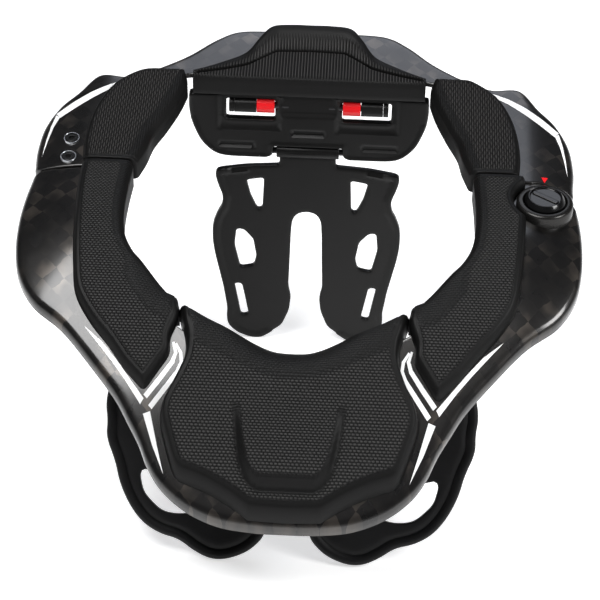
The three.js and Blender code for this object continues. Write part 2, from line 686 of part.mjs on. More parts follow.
// Upper plate, drawn across and up, with its two windows and the notch for the barrel
const plateY = REAR_PAD_FRONT + PLATE_SETBACK;
const plateTop = padFloor - PLATE_DROP;
const plateFoot = plateTop - PLATE_HEIGHT;
const windowFloor = plateTop - WINDOW_DEPTH;
const pinZ = plateTop - PIN_DROP;
const barrelZ = plateFoot + BARREL_RISE;
const notch = BARREL_HALF + BARREL_SPACE;
const plateHalf = PLATE_EDGE.map(([across, down]) => [across * PLATE_HALF, plateTop - down * PLATE_HEIGHT]);
const plateOutline = bothSides([
  [WINDOW_IN, plateTop], [WINDOW_IN, windowFloor], [WINDOW_OUT, windowFloor], [WINDOW_OUT, plateTop],
  ...plateHalf, [notch + PLATE_THICK / 2, plateFoot], [notch, plateFoot + PLATE_THICK / 2],
  [notch, barrelZ + KNUCKLE_R],
]);
const upright = (g) => {
  g.rotateX(Math.PI / 2);
  g.translate(0, plateY, 0);
  return g;
};
const lowerBoss = PIN_SEAT + PLATE_THICK / 2;
let plate = solidOf(upright(softPlate(plateOutline, [], PLATE_THICK)));
plate = join(plate, rod(-WINDOW_IN, WINDOW_IN, plateY, pinZ, BOSS_WALL_R));
[-1, 1].forEach((side) => {
  plate = join(plate, rod(...span(side, notch, notch + lowerBoss), plateY, barrelZ, BOSS_WALL_R));
  plate = cut(plate, rod(...span(side, WINDOW_IN - PIN_SEAT, WINDOW_OUT), plateY, pinZ, PIN_R + FIT));
});
plate = cut(plate, rod(-notch - PIN_SEAT, notch + PIN_SEAT, plateY, barrelZ, PIN_R + FIT));
PLATE_GROOVES.forEach(([across, down]) => {
  const [x, z] = [across * PLATE_HALF, plateTop - down * PLATE_HEIGHT];
  plate = cut(plate, block([x - GROOVE_WIDTH / 2, plateY - PLATE_THICK, z - GROOVE_HEIGHT / 2],
    [x + GROOVE_WIDTH / 2, plateY - PLATE_THICK / 2 + GROOVE_DEPTH, z + GROOVE_HEIGHT / 2]));
});
table.add(part('upper_plate', geometryFrom(plate), colour.plastic, 0.45));

// Brackets that carry the plate, with the pins and the red sleeves
const bracketFront = REAR_PAD_FRONT + NECK_LAP + SEAT_GAP;
const bracketTop = tableZ(0, bracketFront) - SHELL - SEAT_GAP - FACET_GAP;
const knuckle = arc(plateY, pinZ, KNUCKLE_R, 58, 345, 22);
const bracketShape = shapeOf([
  [bracketFront, bracketTop], ...knuckle, [bracketFront + BRACKET_WEB, pinZ + KNUCKLE_R],
  [bracketFront + BRACKET_WEB, bracketTop - BRACKET_WALL],
  [bracketFront + BRACKET_FLANGE, bracketTop - BRACKET_WALL], [bracketFront + BRACKET_FLANGE, bracketTop],
], [arc(plateY, pinZ, PIN_R + FIT, 0, 345, 23)]);
[['right', 1], ['left', -1]].forEach(([side, s]) => {
  const inner = WINDOW_IN + SEAT_GAP;
  const outer = inner + SLEEVE_LENGTH;
  const knuckleX = outer + SEAT_GAP;
  const [bracketX] = span(s, knuckleX, knuckleX + KNUCKLE_LENGTH);
  const bracket = acrossFrom(bracketShape, bracketX, KNUCKLE_LENGTH);
  table.add(part(`plate_bracket_${side}`, geometryFrom(solidOf(bracket)), colour.plastic, 0.5));
  const sleeveRod = solidOf(rod(...span(s, inner, outer), plateY, pinZ, KNUCKLE_R));
  const sleeve = cut(sleeveRod, rod(-FAR, FAR, plateY, pinZ, PIN_R + FIT));
  table.add(part(`red_sleeve_${side}`, geometryFrom(sleeve), colour.red, 0.3));
  const pin = rod(...span(s, WINDOW_IN - PIN_SEAT, knuckleX + KNUCKLE_LENGTH), plateY, pinZ, PIN_R);
  table.add(part(`plate_pin_${side}`, geometryFrom(solidOf(pin)), colour.steel, 0.3));
});
const strutPin = rod(SEAT_GAP - notch - PIN_SEAT, notch + PIN_SEAT - SEAT_GAP, plateY, barrelZ, PIN_R);
table.add(part('strut_pin', geometryFrom(solidOf(strutPin)), colour.steel, 0.3));

// Strut with two legs, hung on its barrel
const strutTop = barrelZ - STRUT_NECK;
const strutFoot = strutTop - STRUT_LENGTH;
const strutPoint = ([across, down]) => [across * STRUT_HALF, strutTop - down * STRUT_LENGTH];
const strutHoles = STRUT_HOLES.flatMap((hole) => {
  const right = hole.map(strutPoint);
  return [right, right.map(([x, z]) => [-x, z])];
});
const neckHalf = BARREL_HALF - STRUT_THICK / 2;
let strut = solidOf(upright(softPlate(bothSides(STRUT_EDGE.map(strutPoint)), strutHoles, STRUT_THICK)));
strut = join(strut, block([-neckHalf, plateY - STRUT_THICK / 2, strutTop - STRUT_THICK],
  [neckHalf, plateY + STRUT_THICK / 2, barrelZ]));
strut = join(strut, rod(-BARREL_HALF, BARREL_HALF, plateY, barrelZ, BARREL_R));
strut = cut(strut, rod(-FAR, FAR, plateY, barrelZ, PIN_R + FIT));
table.add(part('strut', geometryFrom(strut), colour.plastic, 0.45));

// Chest pads in their own leaning plane
const chestPlane = new THREE.Matrix4().makeBasis(
  new THREE.Vector3(1, 0, 0),
  new THREE.Vector3(0, Math.sin(CHEST_LEAN), Math.cos(CHEST_LEAN)),
  new THREE.Vector3(0, -Math.cos(CHEST_LEAN), Math.sin(CHEST_LEAN)),
).setPosition(0, CHEST_ROOT_Y, CHEST_ROOT_Z);
[['right', 1], ['left', -1]].forEach(([side, s]) => {
  const chestPoint = ([across, rise]) => [s * across * CHEST_HALF, rise * CHEST_RISE];
  const pad = softPlate(CHEST_EDGE.map(chestPoint), [CHEST_SLOT.map(chestPoint)], CHEST_THICK);
  pad.applyMatrix4(chestPlane);
  table.add(part(`chest_pad_${side}`, geometryFrom(solidOf(pad)), colour.chest, 0.7));
});

// Chest bracket: a flange under the front shell and a blade on the faces of both pads.
// A place on it is given up the chest from the root and out from the pads' middle plane, as along, up.
const chestAt = (rise, out) => [
  CHEST_ROOT_Y + rise * Math.sin(CHEST_LEAN) - out * Math.cos(CHEST_LEAN),
  CHEST_ROOT_Z + rise * Math.cos(CHEST_LEAN) + out * Math.sin(CHEST_LEAN),
];
const bladeIn = CHEST_THICK / 2 + SEAT_GAP;
const bladeOut = bladeIn + BRACKET_WALL;
const underShell = (setback, depth) => {
  const y = setback - FRONT_REACH;
  return [y, tableZ(0, y) - SHELL - SEAT_GAP - FACET_GAP - depth];
};
const flangeSteps = [0, 1 / 3, 2 / 3, 1].map((f) => HANGER_BACK - f * (HANGER_BACK - HANGER_FRONT));
const hangerSetback = HANGER_BACK - 0.57 * (HANGER_BACK - HANGER_FRONT);
const hangerShape = shapeOf([
  ...flangeSteps.map((setback) => underShell(setback, 0)), underShell(HANGER_FRONT, BRACKET_WALL),
  underShell(hangerSetback, BRACKET_WALL), chestAt(HANGER_FOOT[1], bladeOut),
  chestAt(HANGER_FOOT[0], bladeOut), chestAt(HANGER_FOOT[0], bladeIn),
  chestAt(HANGER_FOOT[3], bladeIn), chestAt(HANGER_FOOT[3], bladeOut),
  chestAt(HANGER_FOOT[2], bladeOut), underShell(hangerSetback + 2 * BRACKET_WALL, BRACKET_WALL),
  underShell(HANGER_BACK, BRACKET_WALL),
]);
const hanger = acrossFrom(hangerShape, -BRACKET_HALF, 2 * BRACKET_HALF);
table.add(part('chest_bracket', geometryFrom(solidOf(hanger)), colour.plastic, 0.5));

// Standing lean: the strut's feet and the lowest edges of the chest pads meet one floor
const chestFoot = Math.min(...CHEST_EDGE.map(([, rise]) => rise)) * CHEST_RISE;
const [padFootY, padFootZ] = chestAt(chestFoot, EDGE - CHEST_THICK / 2);
const strutFootY = plateY - STRUT_THICK / 2 + EDGE;
table.rotation.x = Math.atan2(padFootZ - strutFoot, strutFootY - padFootY);
group.updateMatrixWorld(true);
const bounds = new THREE.Box3().setFromObject(group, true);
const middle = bounds.getCenter(new THREE.Vector3());
table.position.set(-middle.x, -middle.y, -bounds.min.z);
group.updateMatrixWorld(true);

export default group;
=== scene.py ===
import json
import math

import bpy
import numpy as np
from mathutils import Matrix, Vector
from mathutils.geometry import delaunay_2d_cdt


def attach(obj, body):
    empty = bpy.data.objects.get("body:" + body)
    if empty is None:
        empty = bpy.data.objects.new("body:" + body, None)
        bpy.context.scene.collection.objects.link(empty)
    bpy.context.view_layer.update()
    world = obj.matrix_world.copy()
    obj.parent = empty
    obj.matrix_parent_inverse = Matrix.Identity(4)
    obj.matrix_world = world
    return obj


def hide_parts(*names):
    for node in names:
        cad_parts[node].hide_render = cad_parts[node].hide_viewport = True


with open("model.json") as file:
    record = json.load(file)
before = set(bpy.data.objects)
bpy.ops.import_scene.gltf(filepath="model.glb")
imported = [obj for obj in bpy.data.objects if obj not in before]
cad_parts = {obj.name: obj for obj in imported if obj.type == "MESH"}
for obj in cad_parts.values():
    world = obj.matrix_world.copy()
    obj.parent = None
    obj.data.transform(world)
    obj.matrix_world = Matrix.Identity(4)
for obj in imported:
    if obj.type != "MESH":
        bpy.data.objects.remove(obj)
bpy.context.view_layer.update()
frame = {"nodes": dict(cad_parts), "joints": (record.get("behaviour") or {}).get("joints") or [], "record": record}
NODES = frame["nodes"]

# Sizes of the ring in millimetres, in the table frame: arms level, x across, y to the rear
HALF_WIDTH = 156.0
REAR_REACH = 166.0
FRONT_REACH = 144.0
JOINT_Y = 43.0
JOINT_GAP = 1.6
FRONT_DROP = 91.0
REAR_RISE = 17.0
SIDE_SPAN = 41.0
SIDE_FALL = 7.0
SHELL = 2.6
LIP = 6.0
NECK_LAP = 7.5
SEAT = 0.35

# Hinge and knob
KNOB = (135.0, 23.0)
HINGE_END_R = 19.2
HINGE_CLEAR_R = 21.9
COLLAR_R = 15.8
COLLAR_IN_R = 12.1

# Plate, strut and chest planes
REAR_PAD_FRONT = 114.5
PLATE_Y = 119.6
CHEST_ROOT = (0.0, -101.0, -132.6)
CHEST_LEAN = math.radians(40)

# Height of the table from the joint to a rim: share of the run, share of the drop or rise
FRONT_PROFILE = (
    (-0.2, -0.02), (0, 0), (0.235, 0.041), (0.44, 0.186),
    (0.665, 0.465), (0.87, 0.785), (1, 1), (1.17, 1.26),
)
REAR_PROFILE = (
    (-0.2, -0.12), (0, 0), (0.29, 0.29), (0.54, 0.59),
    (0.71, 0.765), (0.87, 0.92), (1, 1), (1.2, 1.1),
)

# Plan of each half, joint to middle, in shares of the half width and of the half's run
# Columns: rim across, rim along, seam across, seam along, neck across, neck along
FRONT_RING = (
    (0.981, -0.059, 0.801, -0.059, 0.606, -0.059),
    (0.981, 0.016, 0.801, 0.011, 0.612, 0.016),
    (0.994, 0.112, 0.801, 0.112, 0.618, 0.112),
    (1.000, 0.214, 0.795, 0.209, 0.619, 0.214),
    (0.994, 0.316, 0.788, 0.299, 0.607, 0.296),
    (0.968, 0.406, 0.776, 0.396, 0.576, 0.350),
    (0.904, 0.487, 0.756, 0.481, 0.538, 0.385),
    (0.795, 0.556, 0.699, 0.551, 0.500, 0.422),
    (0.686, 0.642, 0.628, 0.610, 0.468, 0.452),
    (0.596, 0.717, 0.571, 0.663, 0.442, 0.473),
    (0.545, 0.773, 0.519, 0.706, 0.423, 0.489),
    (0.506, 0.818, 0.462, 0.749, 0.394, 0.505),
    (0.471, 0.869, 0.439, 0.824, 0.340, 0.529),
    (0.423, 0.914, 0.385, 0.885, 0.282, 0.551),
    (0.340, 0.957, 0.282, 0.933, 0.218, 0.570),
    (0.231, 0.987, 0.167, 0.976, 0.147, 0.586),
    (0.115, 0.998, 0.083, 0.984, 0.071, 0.596),
    (0.000, 1.000, 0.000, 0.984, 0.000, 0.599),
)
REAR_RING = (
    (0.981, -0.089, 0.801, -0.089, 0.604, -0.089),
    (0.981, 0.024, 0.801, 0.016, 0.602, 0.016),
    (0.987, 0.154, 0.808, 0.138, 0.577, 0.114),
    (0.974, 0.301, 0.801, 0.268, 0.560, 0.211),
    (0.929, 0.423, 0.782, 0.382, 0.526, 0.309),
    (0.865, 0.512, 0.744, 0.496, 0.500, 0.390),
    (0.795, 0.626, 0.692, 0.577, 0.481, 0.455),
    (0.692, 0.622, 0.622, 0.634, 0.468, 0.512),
    (0.628, 0.659, 0.538, 0.642, 0.462, 0.545),
    (0.571, 0.695, 0.474, 0.642, 0.455, 0.577),
    (0.468, 0.789, 0.442, 0.642, 0.442, 0.581),
    (0.372, 0.911, 0.346, 0.699, 0.346, 0.581),
    (0.288, 0.984, 0.244, 0.772, 0.256, 0.581),
    (0.160, 1.000, 0.154, 0.894, 0.154, 0.581),
    (0.000, 1.000, 0.000, 0.911, 0.000, 0.581),
)

# The hinge tells how the table frame stands in the row frame
hinge = next(j for j in frame["joints"] if j["name"] == "main_hinge")
TILT = math.asin(-hinge["axis"][1])
TO_ROW = (
    Matrix.Translation(hinge["pos_m"])
    @ Matrix.Rotation(TILT, 4, "X")
    @ Matrix.Translation((-KNOB[0] / 1000, -KNOB[1] / 1000, 0))
)
TO_ROW_NP = np.array(TO_ROW)


def profile(rows, t):
    """Smooth value of a two-column profile at each share t."""
    rows = np.array(rows, float)
    t = np.asarray(t, float)
    i = np.clip(np.searchsorted(rows[:, 0], t, side="left") - 1, 1, len(rows) - 3)
    p, a, b, q = rows[i - 1], rows[i], rows[i + 1], rows[i + 2]
    span = b[..., 0] - a[..., 0]
    f = (t - a[..., 0]) / span
    slope_a = (b[..., 1] - p[..., 1]) / (b[..., 0] - p[..., 0])
    slope_b = (q[..., 1] - a[..., 1]) / (q[..., 0] - a[..., 0])
    ff, fff = f * f, f * f * f
    return (
        (2 * fff - 3 * ff + 1) * a[..., 1]
        + (fff - 2 * ff + f) * span * slope_a
        + (3 * ff - 2 * fff) * b[..., 1]
        + (fff - ff) * span * slope_b
    )


def table_z(xy):
    """Top of the table at plan points, in millimetres."""
    x, y = xy[..., 0], xy[..., 1]
    out = np.maximum(0, np.abs(x) - (HALF_WIDTH - SIDE_SPAN)) / SIDE_SPAN
    front = -FRONT_DROP * profile(FRONT_PROFILE, (JOINT_Y - y) / (FRONT_REACH + JOINT_Y))
    rear = REAR_RISE * profile(REAR_PROFILE, (y - JOINT_Y) / (REAR_REACH - JOINT_Y))
    return np.where(y < JOINT_Y, front, rear) - SIDE_FALL * out * out


def ring_curves(rows, front):
    """Rim, seam and neck curves of one half in millimetres, right side, joint to middle."""
    run = -(FRONT_REACH + JOINT_Y) if front else REAR_REACH - JOINT_Y
    r = np.array(rows)
    across, along = r[:, 0::2] * HALF_WIDTH, JOINT_Y + r[:, 1::2] * run
    return [np.stack([across[:, k], along[:, k]], 1) for k in range(3)]


def smooth(points, step):
    """Curve through points, resampled about every step."""
    p = np.array(points, float)
    p = np.vstack([p[0] * 2 - p[1], p, p[-1] * 2 - p[-2]])
    out = []
    for a, b, c, d in zip(p[:-3], p[1:-2], p[2:-1], p[3:]):
        n = max(1, int(np.linalg.norm(c - b) / step + 0.5))
        bend, twist = 2 * a - 5 * b + 4 * c - d, 3 * b - a - 3 * c + d
        for t in np.arange(n) / n:
            out.append(0.5 * (2 * b + (c - a) * t + bend * t * t + twist * t**3))
    out.append(p[-2])
    return np.array(out)


def rounded(points, radius, step, closed=True):
    """Outline with rounded corners, cut to short steps. A point's third number is its own radius."""
    n = len(points)
    out = []
    for i in range(n):
        p = np.array(points[i][:2], float)
        if not closed and i in (0, n - 1):
            out.append(p)
            continue
        r = points[i][2] if len(points[i]) > 2 else radius
        a, b = np.array(points[i - 1][:2], float), np.array(points[(i + 1) % n][:2], float)
        la, lb = np.linalg.norm(a - p), np.linalg.norm(b - p)
        ra, rb = min(r, 0.48 * la), min(r, 0.48 * lb)
        p0, p1 = p + (a - p) / la * ra, p + (b - p) / lb * rb
        m = max(2, int((ra + rb) / step) + 1)
        for t in np.linspace(0, 1, m):
            out.append((1 - t) ** 2 * p0 + 2 * t * (1 - t) * p + t * t * p1)
    return stepped(np.array(out), step, closed)


def stepped(p, step, closed=True):
    """Polyline with long sides cut to steps and doubled points left out."""
    ends = np.vstack([p[1:], p[:1]]) if closed else p[1:]
    out = []
    for a, b in zip(p, ends):
        length = np.linalg.norm(b - a)
        if length < 0.05:
            continue
        n = max(1, int(math.ceil(length / step)))
        out.extend(a + (b - a) * k / n for k in range(n))
    if not closed:
        out.append(p[-1])
    return np.array(out)


def mirror(p):
    return np.asarray(p) * (-1, 1)


def distance(points, line, closed=False):
    """Distance of each point to a polyline."""
    a = np.asarray(line, float)
    b = np.roll(a, -1, 0) if closed else a[1:]
    a = a if closed else a[:-1]
    out = np.full(len(points), 1e9)
    d = b - a
    dd = np.maximum((d * d).sum(1), 1e-12)
    for i in range(0, len(points), 2000):
        q = points[i : i + 2000]
        t = np.clip(((q[:, None] - a) * d).sum(2) / dd, 0, 1)
        out[i : i + 2000] = np.sqrt((((a + t[..., None] * d) - q[:, None]) ** 2).sum(2).min(1))
    return out


def inside(points, loop):
    """True where a point lies in a closed loop."""
    a, b = np.asarray(loop), np.roll(loop, -1, 0)
    x, y = points[:, 0][:, None], points[:, 1][:, None]
    straddle = (a[:, 1] > y) != (b[:, 1] > y)
    rise = np.where(b[:, 1] == a[:, 1], 1e-9, b[:, 1] - a[:, 1])
    cross = a[:, 0] + (y - a[:, 1]) / rise * (b[:, 0] - a[:, 0])
    return (straddle & (x < cross)).sum(1) % 2 == 1


def area(loop):
    b = np.roll(loop, -1, 0)
    return 0.5 * (loop[:, 0] * b[:, 1] - b[:, 0] * loop[:, 1]).sum()


def ease(t):
    t = np.clip(t, 0, 1)
    return t * t * (3 - 2 * t)


def bullnose(d, radius):
    """Fall of a rounded edge at distance d from it: -radius at the edge, 0 inside."""
    t = np.clip(d / radius, 0, 1)
    return radius * (np.sqrt(np.maximum(0, 1 - (1 - t) ** 2)) - 1)


def mesh_object(name, points, faces, uv=None, masks=None, sharp=40):
    """Object in the row frame from table points in millimetres."""
    p = np.asarray(points, float) / 1000
    p = p @ TO_ROW_NP[:3, :3].T + TO_ROW_NP[:3, 3]
    me = bpy.data.meshes.new(name)
    me.from_pydata(p.tolist(), [], [tuple(int(i) for i in f) for f in faces])
    me.validate()
    if uv is not None:
        layer = me.uv_layers.new(name="plan")
        loops = np.zeros(len(me.loops), np.int32)
        me.loops.foreach_get("vertex_index", loops)
        layer.data.foreach_set("uv", (np.asarray(uv, float)[loops] / 100).ravel().astype(np.float32))
    for key, values in (masks or {}).items():
        me.attributes.new(key, "FLOAT", "POINT").data.foreach_set("value", np.asarray(values, np.float32))
    me.shade_smooth()
    if sharp:
        me.set_sharp_from_angle(angle=math.radians(sharp))
    o = bpy.data.objects.new(name, me)
    bpy.context.scene.collection.objects.link(o)
    return o


def flat_place(xyh):
    return xyh


def upright_place(xyh):
    return np.stack([xyh[:, 0], PLATE_Y - xyh[:, 2], xyh[:, 1]], 1)


def chest_place(xyh):
    s, c = math.sin(CHEST_LEAN), math.cos(CHEST_LEAN)
    x, v, h = xyh.T
    return np.stack([x + CHEST_ROOT[0], CHEST_ROOT[1] + v * s - h * c, CHEST_ROOT[2] + v * c + h * s], 1)


def moulded(
    name, outline, top, bottom, step, holes=(), rings=(), place=flat_place, masks=None, walls=0, sharp=40,
):
    """Closed piece over an outline: top(points, edge distance) and bottom(...) give its two faces."""
    loops = [outline if area(outline) > 0 else outline[::-1]]
    loops += [h if area(h) < 0 else h[::-1] for h in (np.asarray(h) for h in holes)]
    edge = np.vstack(loops)
    starts = np.cumsum([0] + [len(l) for l in loops])
    extra = []
    for l in loops:
        along = np.roll(l, -1, 0) - np.roll(l, 1, 0)
        normal = np.stack([-along[:, 1], along[:, 0]], 1)
        normal /= np.maximum(np.linalg.norm(normal, axis=1, keepdims=True), 1e-9)
        extra += [(l + normal * r, 0.85 * r) for r in rings]
    lo, hi = outline.min(0), outline.max(0)
    grid = []
    for k, y in enumerate(np.arange(lo[1], hi[1], step * 0.866)):
        grid += [(x + (k % 2) * step / 2, y) for x in np.arange(lo[0], hi[0], step)]
    extra.append((np.array(grid), max([0, *rings]) + 0.55 * step))

    def covered(points):
        keep = inside(points, loops[0])
        for h in loops[1:]:
            keep &= ~inside(points, h)
        return keep

    def edge_distance(points):
        return np.min([distance(points, l, True) for l in loops], 0)

    inner = [p[covered(p) & (edge_distance(p) > gap)] for p, gap in extra]
    points = np.vstack([edge, *inner])
    sides = [(s + i, s + (i + 1) % len(l)) for s, l in zip(starts, loops) for i in range(len(l))]
    out = delaunay_2d_cdt([Vector(p) for p in points], sides, [], 0, 1e-5)
    flat = np.array([tuple(v) for v in out[0]])
    back = {o: i for i, origin in enumerate(out[3]) for o in origin}
    tris = np.array([f for f in out[2] if len(f) == 3])
    tris = tris[covered(flat[tris].mean(1))]
    a, b, c = flat[tris[:, 0]], flat[tris[:, 1]], flat[tris[:, 2]]
    turned = (b[:, 0] - a[:, 0]) * (c[:, 1] - a[:, 1]) - (b[:, 1] - a[:, 1]) * (c[:, 0] - a[:, 0]) < 0
    tris[turned] = tris[turned][:, ::-1]
    d = edge_distance(flat)
    n = len(flat)
    high = np.column_stack([flat, top(flat, d)])
    low = np.column_stack([flat, bottom(flat, d)])
    faces = tris.tolist() + (tris[:, ::-1] + n).tolist()
    points3, plan = [high, low], [flat, flat]
    count = 2 * n
    for l, s in zip(loops, starts):
        ids = np.array([back[s + i] for i in range(len(l))])
        rows = [ids]
        for k in range(1, walls + 1):
            f = k / (walls + 1)
            row = high[ids] * (1 - f) + low[ids] * f
            points3.append(row)
            plan.append(flat[ids])
            rows.append(np.arange(count, count + len(ids)))
            count += len(ids)
        rows.append(ids + n)
        for r0, r1 in zip(rows[:-1], rows[1:]):
            faces += [(r1[i], r1[(i + 1) % len(l)], r0[(i + 1) % len(l)], r0[i]) for i in range(len(l))]
    made = {k: np.concatenate([f(flat, d), np.zeros(count - n)]) for k, f in (masks or {}).items()}
    return mesh_object(name, place(np.vstack(points3)), faces, np.vstack(plan), made, sharp)


# Curves of the two halves
F_RIM, F_SEAM, F_NECK = ring_curves(FRONT_RING, True)
R_RIM, R_SEAM, R_NECK = ring_curves(REAR_RING, False)


def shell_edge(rim, neck):
    """Inner edge of the shell, a little short of the pads' neck edge."""
    d = neck - rim
    length = np.linalg.norm(d, axis=1, keepdims=True)
    return rim + d * (1 - NECK_LAP / length)


SIDES = (("right", 1), ("left", -1))


def on_side(sign, *curves):
    """Curves of the right side as they are, or mirrored for the left."""
    return curves if sign > 0 else [mirror(c) for c in curves]


def both(curve):
    """Right side and left side in one run, right joint to left joint."""
    return np.vstack([curve, mirror(curve)[::-1][1:]])


def arc(centre, radius, start, end, n):
    a = np.radians(np.linspace(start, end, n))
    return np.stack([centre[0] + radius * np.cos(a), centre[1] + radius * np.sin(a)], 1)


def crossing(curve, y):
    """The curve cut at height y: the part beyond it, with its end on the line."""
    side = (curve[:, 1] - y) * (curve[len(curve) // 2, 1] - y) > 0
    first, last = np.argmax(side), len(side) - 1 - np.argmax(side[::-1])

    def on(a, b):
        return a + (b - a) * (y - a[1]) / (b[1] - a[1])

    head = on(curve[first - 1], curve[first])
    tail = on(curve[last + 1], curve[last])
    return np.vstack([head, curve[first : last + 1], tail])


def soften(loop, radius, limit=35):
    """Rounds only the sharp corners of a finely stepped loop."""
    n = len(loop)
    a, b = loop - np.roll(loop, 1, 0), np.roll(loop, -1, 0) - loop
    swing = np.arctan2(b[:, 1], b[:, 0]) - np.arctan2(a[:, 1], a[:, 0])
    turn = np.degrees(np.abs((swing + np.pi) % (2 * np.pi) - np.pi))
    corners = [i for i in range(n) if turn[i] > limit]
    drop = np.zeros(n, bool)
    swap = {}
    for i in corners:
        j = k = i
        while np.linalg.norm(loop[(j - 1) % n] - loop[i]) < radius:
            j -= 1
        while np.linalg.norm(loop[(k + 1) % n] - loop[i]) < radius:
            k += 1
        for m in range(j, k + 1):
            drop[m % n] = True
        p0, p, p1 = loop[(j - 1) % n], loop[i], loop[(k + 1) % n]
        shares = np.linspace(0.12, 0.88, 6)
        swap[j % n] = [(1 - t) ** 2 * p0 + 2 * t * (1 - t) * p + t * t * p1 for t in shares]
    out = []
    for i in range(n):
        if i in swap:
            out.extend(swap[i])
        elif not drop[i]:
            out.append(loop[i])
    return np.array(out)


STEP = 2.0
front_y, rear_y = JOINT_Y - JOINT_GAP / 2, JOINT_Y + JOINT_GAP / 2
end_arc = arc(KNOB, HINGE_END_R, 90, 10, 22)
clear_start = 180 - math.degrees(math.asin((rear_y - KNOB[1]) / HINGE_CLEAR_R))
clear_arc = arc(KNOB, HINGE_CLEAR_R, clear_start, 45, 22)

front_rim = crossing(smooth(both(F_RIM), STEP), front_y)
front_rim = front_rim[~((front_rim[:, 0] > 0) & (front_rim[:, 1] > end_arc[-1, 1]))]
front_inner = crossing(smooth(both(shell_edge(F_RIM, F_NECK)), STEP), front_y)
front_loop = np.vstack([front_inner[::-1], end_arc, front_rim])
front_loop = soften(stepped(front_loop, STEP), 5)

rear_rim = crossing(smooth(both(R_RIM), STEP), rear_y)
rear_rim = np.vstack([(rear_rim[0, 0] - 0.3, clear_arc[-1, 1]), rear_rim])
rear_inner = crossing(smooth(both(shell_edge(R_RIM, R_NECK)), STEP), rear_y)
rear_loop = np.vstack([rear_inner[::-1], clear_arc, rear_rim])
rear_loop = soften(stepped(rear_loop, STEP), 4)


def shell_faces(rim):
    def top(p, d):
        return table_z(p) + bullnose(d, 0.8) + 0.8 * bullnose(distance(p, rim), 3.6)

    def bottom(p, d):
        lip = 1 - ease((distance(p, rim) - 2.5) / 0.8)
        return table_z(p) - SHELL - lip * (LIP - SHELL)

    return top, bottom


RINGS = (0.12, 0.4, 0.8, 1.6, 2.5, 3.3)
top, bottom = shell_faces(front_rim)
front_shell = moulded("front_shell", front_loop, top, bottom, 2.6, rings=RINGS, walls=2)
top, bottom = shell_faces(rear_rim)
rear_shell = moulded("rear_shell", rear_loop, top, bottom, 2.6, rings=RINGS, walls=2)

# Pads of the arms
CROWN = 6.4
REAR_CROWN = 5.0
MIDDLE_CROWN = 9.0
SHOULDER = 3.4
PAD_SKIRT = 9.5
PAD_END = 0.6
BITE_R = COLLAR_R + 1.2


def dome(d, width):
    t = np.clip(d / width, 0, 1)
    return 0.12 + 0.88 * np.sqrt(1 - (1 - t) ** 2)


def roll(d, width, drop):
    t = 1 - np.clip(d / width, 0, 1)
    return -drop * t**2


def line_cut(d, at, depth, width):
    """A pressed line at distance at from an edge."""
    return -depth * np.exp(-(((d - at) / width) ** 2))


def side_roll(p):
    """Width and drop of the neck side of the front side pads: narrow by the joint, broad at the front."""
    k = ease((-26 - p[:, 1]) / 18)
    return 5.2 + 7.8 * k, 3.6 + 0.2 * k


def rear_roll(p):
    return 5.5, 4.2


def middle_roll(p):
    """Neck side of the front middle pad: deep in the middle, shallow at its corners."""
    k = ease((np.abs(p[:, 0]) - 6) / 34)
    return 17 - 4 * k, 11.8 - 8.4 * k


def pad_piece(
    name, loop, seam, neck, crown, neck_side, border, relief=None, plain=None, step=1.7, joint=None,
):
    """Foam pad: domed from its seam, rolled over at its neck side, with a plain border about its field."""

    def top(p, d):
        ds, dn = distance(p, seam), distance(p, neck)
        width, drop = neck_side(p)
        z = table_z(p) + SEAT + crown * dome(ds, SHOULDER) + roll(dn, width, drop)
        z = z + line_cut(ds, border, 0.4, 0.6) + line_cut(dn, width, 0.3, 0.8)
        if joint is not None:
            dj = distance(p, joint)
            z = z + bullnose(dj, 0.9) + line_cut(dj, 1.9, 0.3, 0.4)
        return z + (relief(p, ds, dn) if relief else 0)

    def bottom(p, d):
        dn = distance(p, neck)
        return table_z(p) + SEAT - (PAD_SKIRT + SEAT) * (1 - ease((dn - 5.9) / 0.5))

    def field(p, d):
        width, _ = neck_side(p)
        dn = distance(p, neck)
        slope = ease((dn - 1.4) / 1.2) * (0.4 + 0.6 * ease((dn - width - 0.4) / 1.2))
        inner = ease((distance(p, seam) - border - 0.3) / 0.8) * slope
        if joint is not None:
            inner = inner * ease((distance(p, joint) - 2.3) / 0.6)
        return inner * plain(p) if plain else inner

    rings = sorted((0.12, 0.45, 1.0, 1.8, 2.7, border, border + 0.9, 5.8, 6.5))
    return moulded(name, loop, top, bottom, step, rings=rings, walls=3, masks={"field": field}, sharp=60)


# Plan points of the joint between side pad and middle pad, right side
TIP = [
    (77.6, -90.6, 4), (64.8, -73.5, 3), (65.6, -66.4, 3),
    (62.6, -60.4, 3), (60.9, -54, 3), (63.1, -47.6, 2),
]
side_seam = smooth(F_SEAM[1:10], STEP)
side_neck = smooth(F_NECK[1:10], STEP)
pieces = {}


def terraces(p, ds, dn):
    """Fine steps that run along the neck side of the rear pads."""
    return sum(line_cut(dn, at, 0.35, 0.5) for at in (8.6, 10.6, 12.6, 14.6)) * ease((p[:, 1] - 60) / 20)


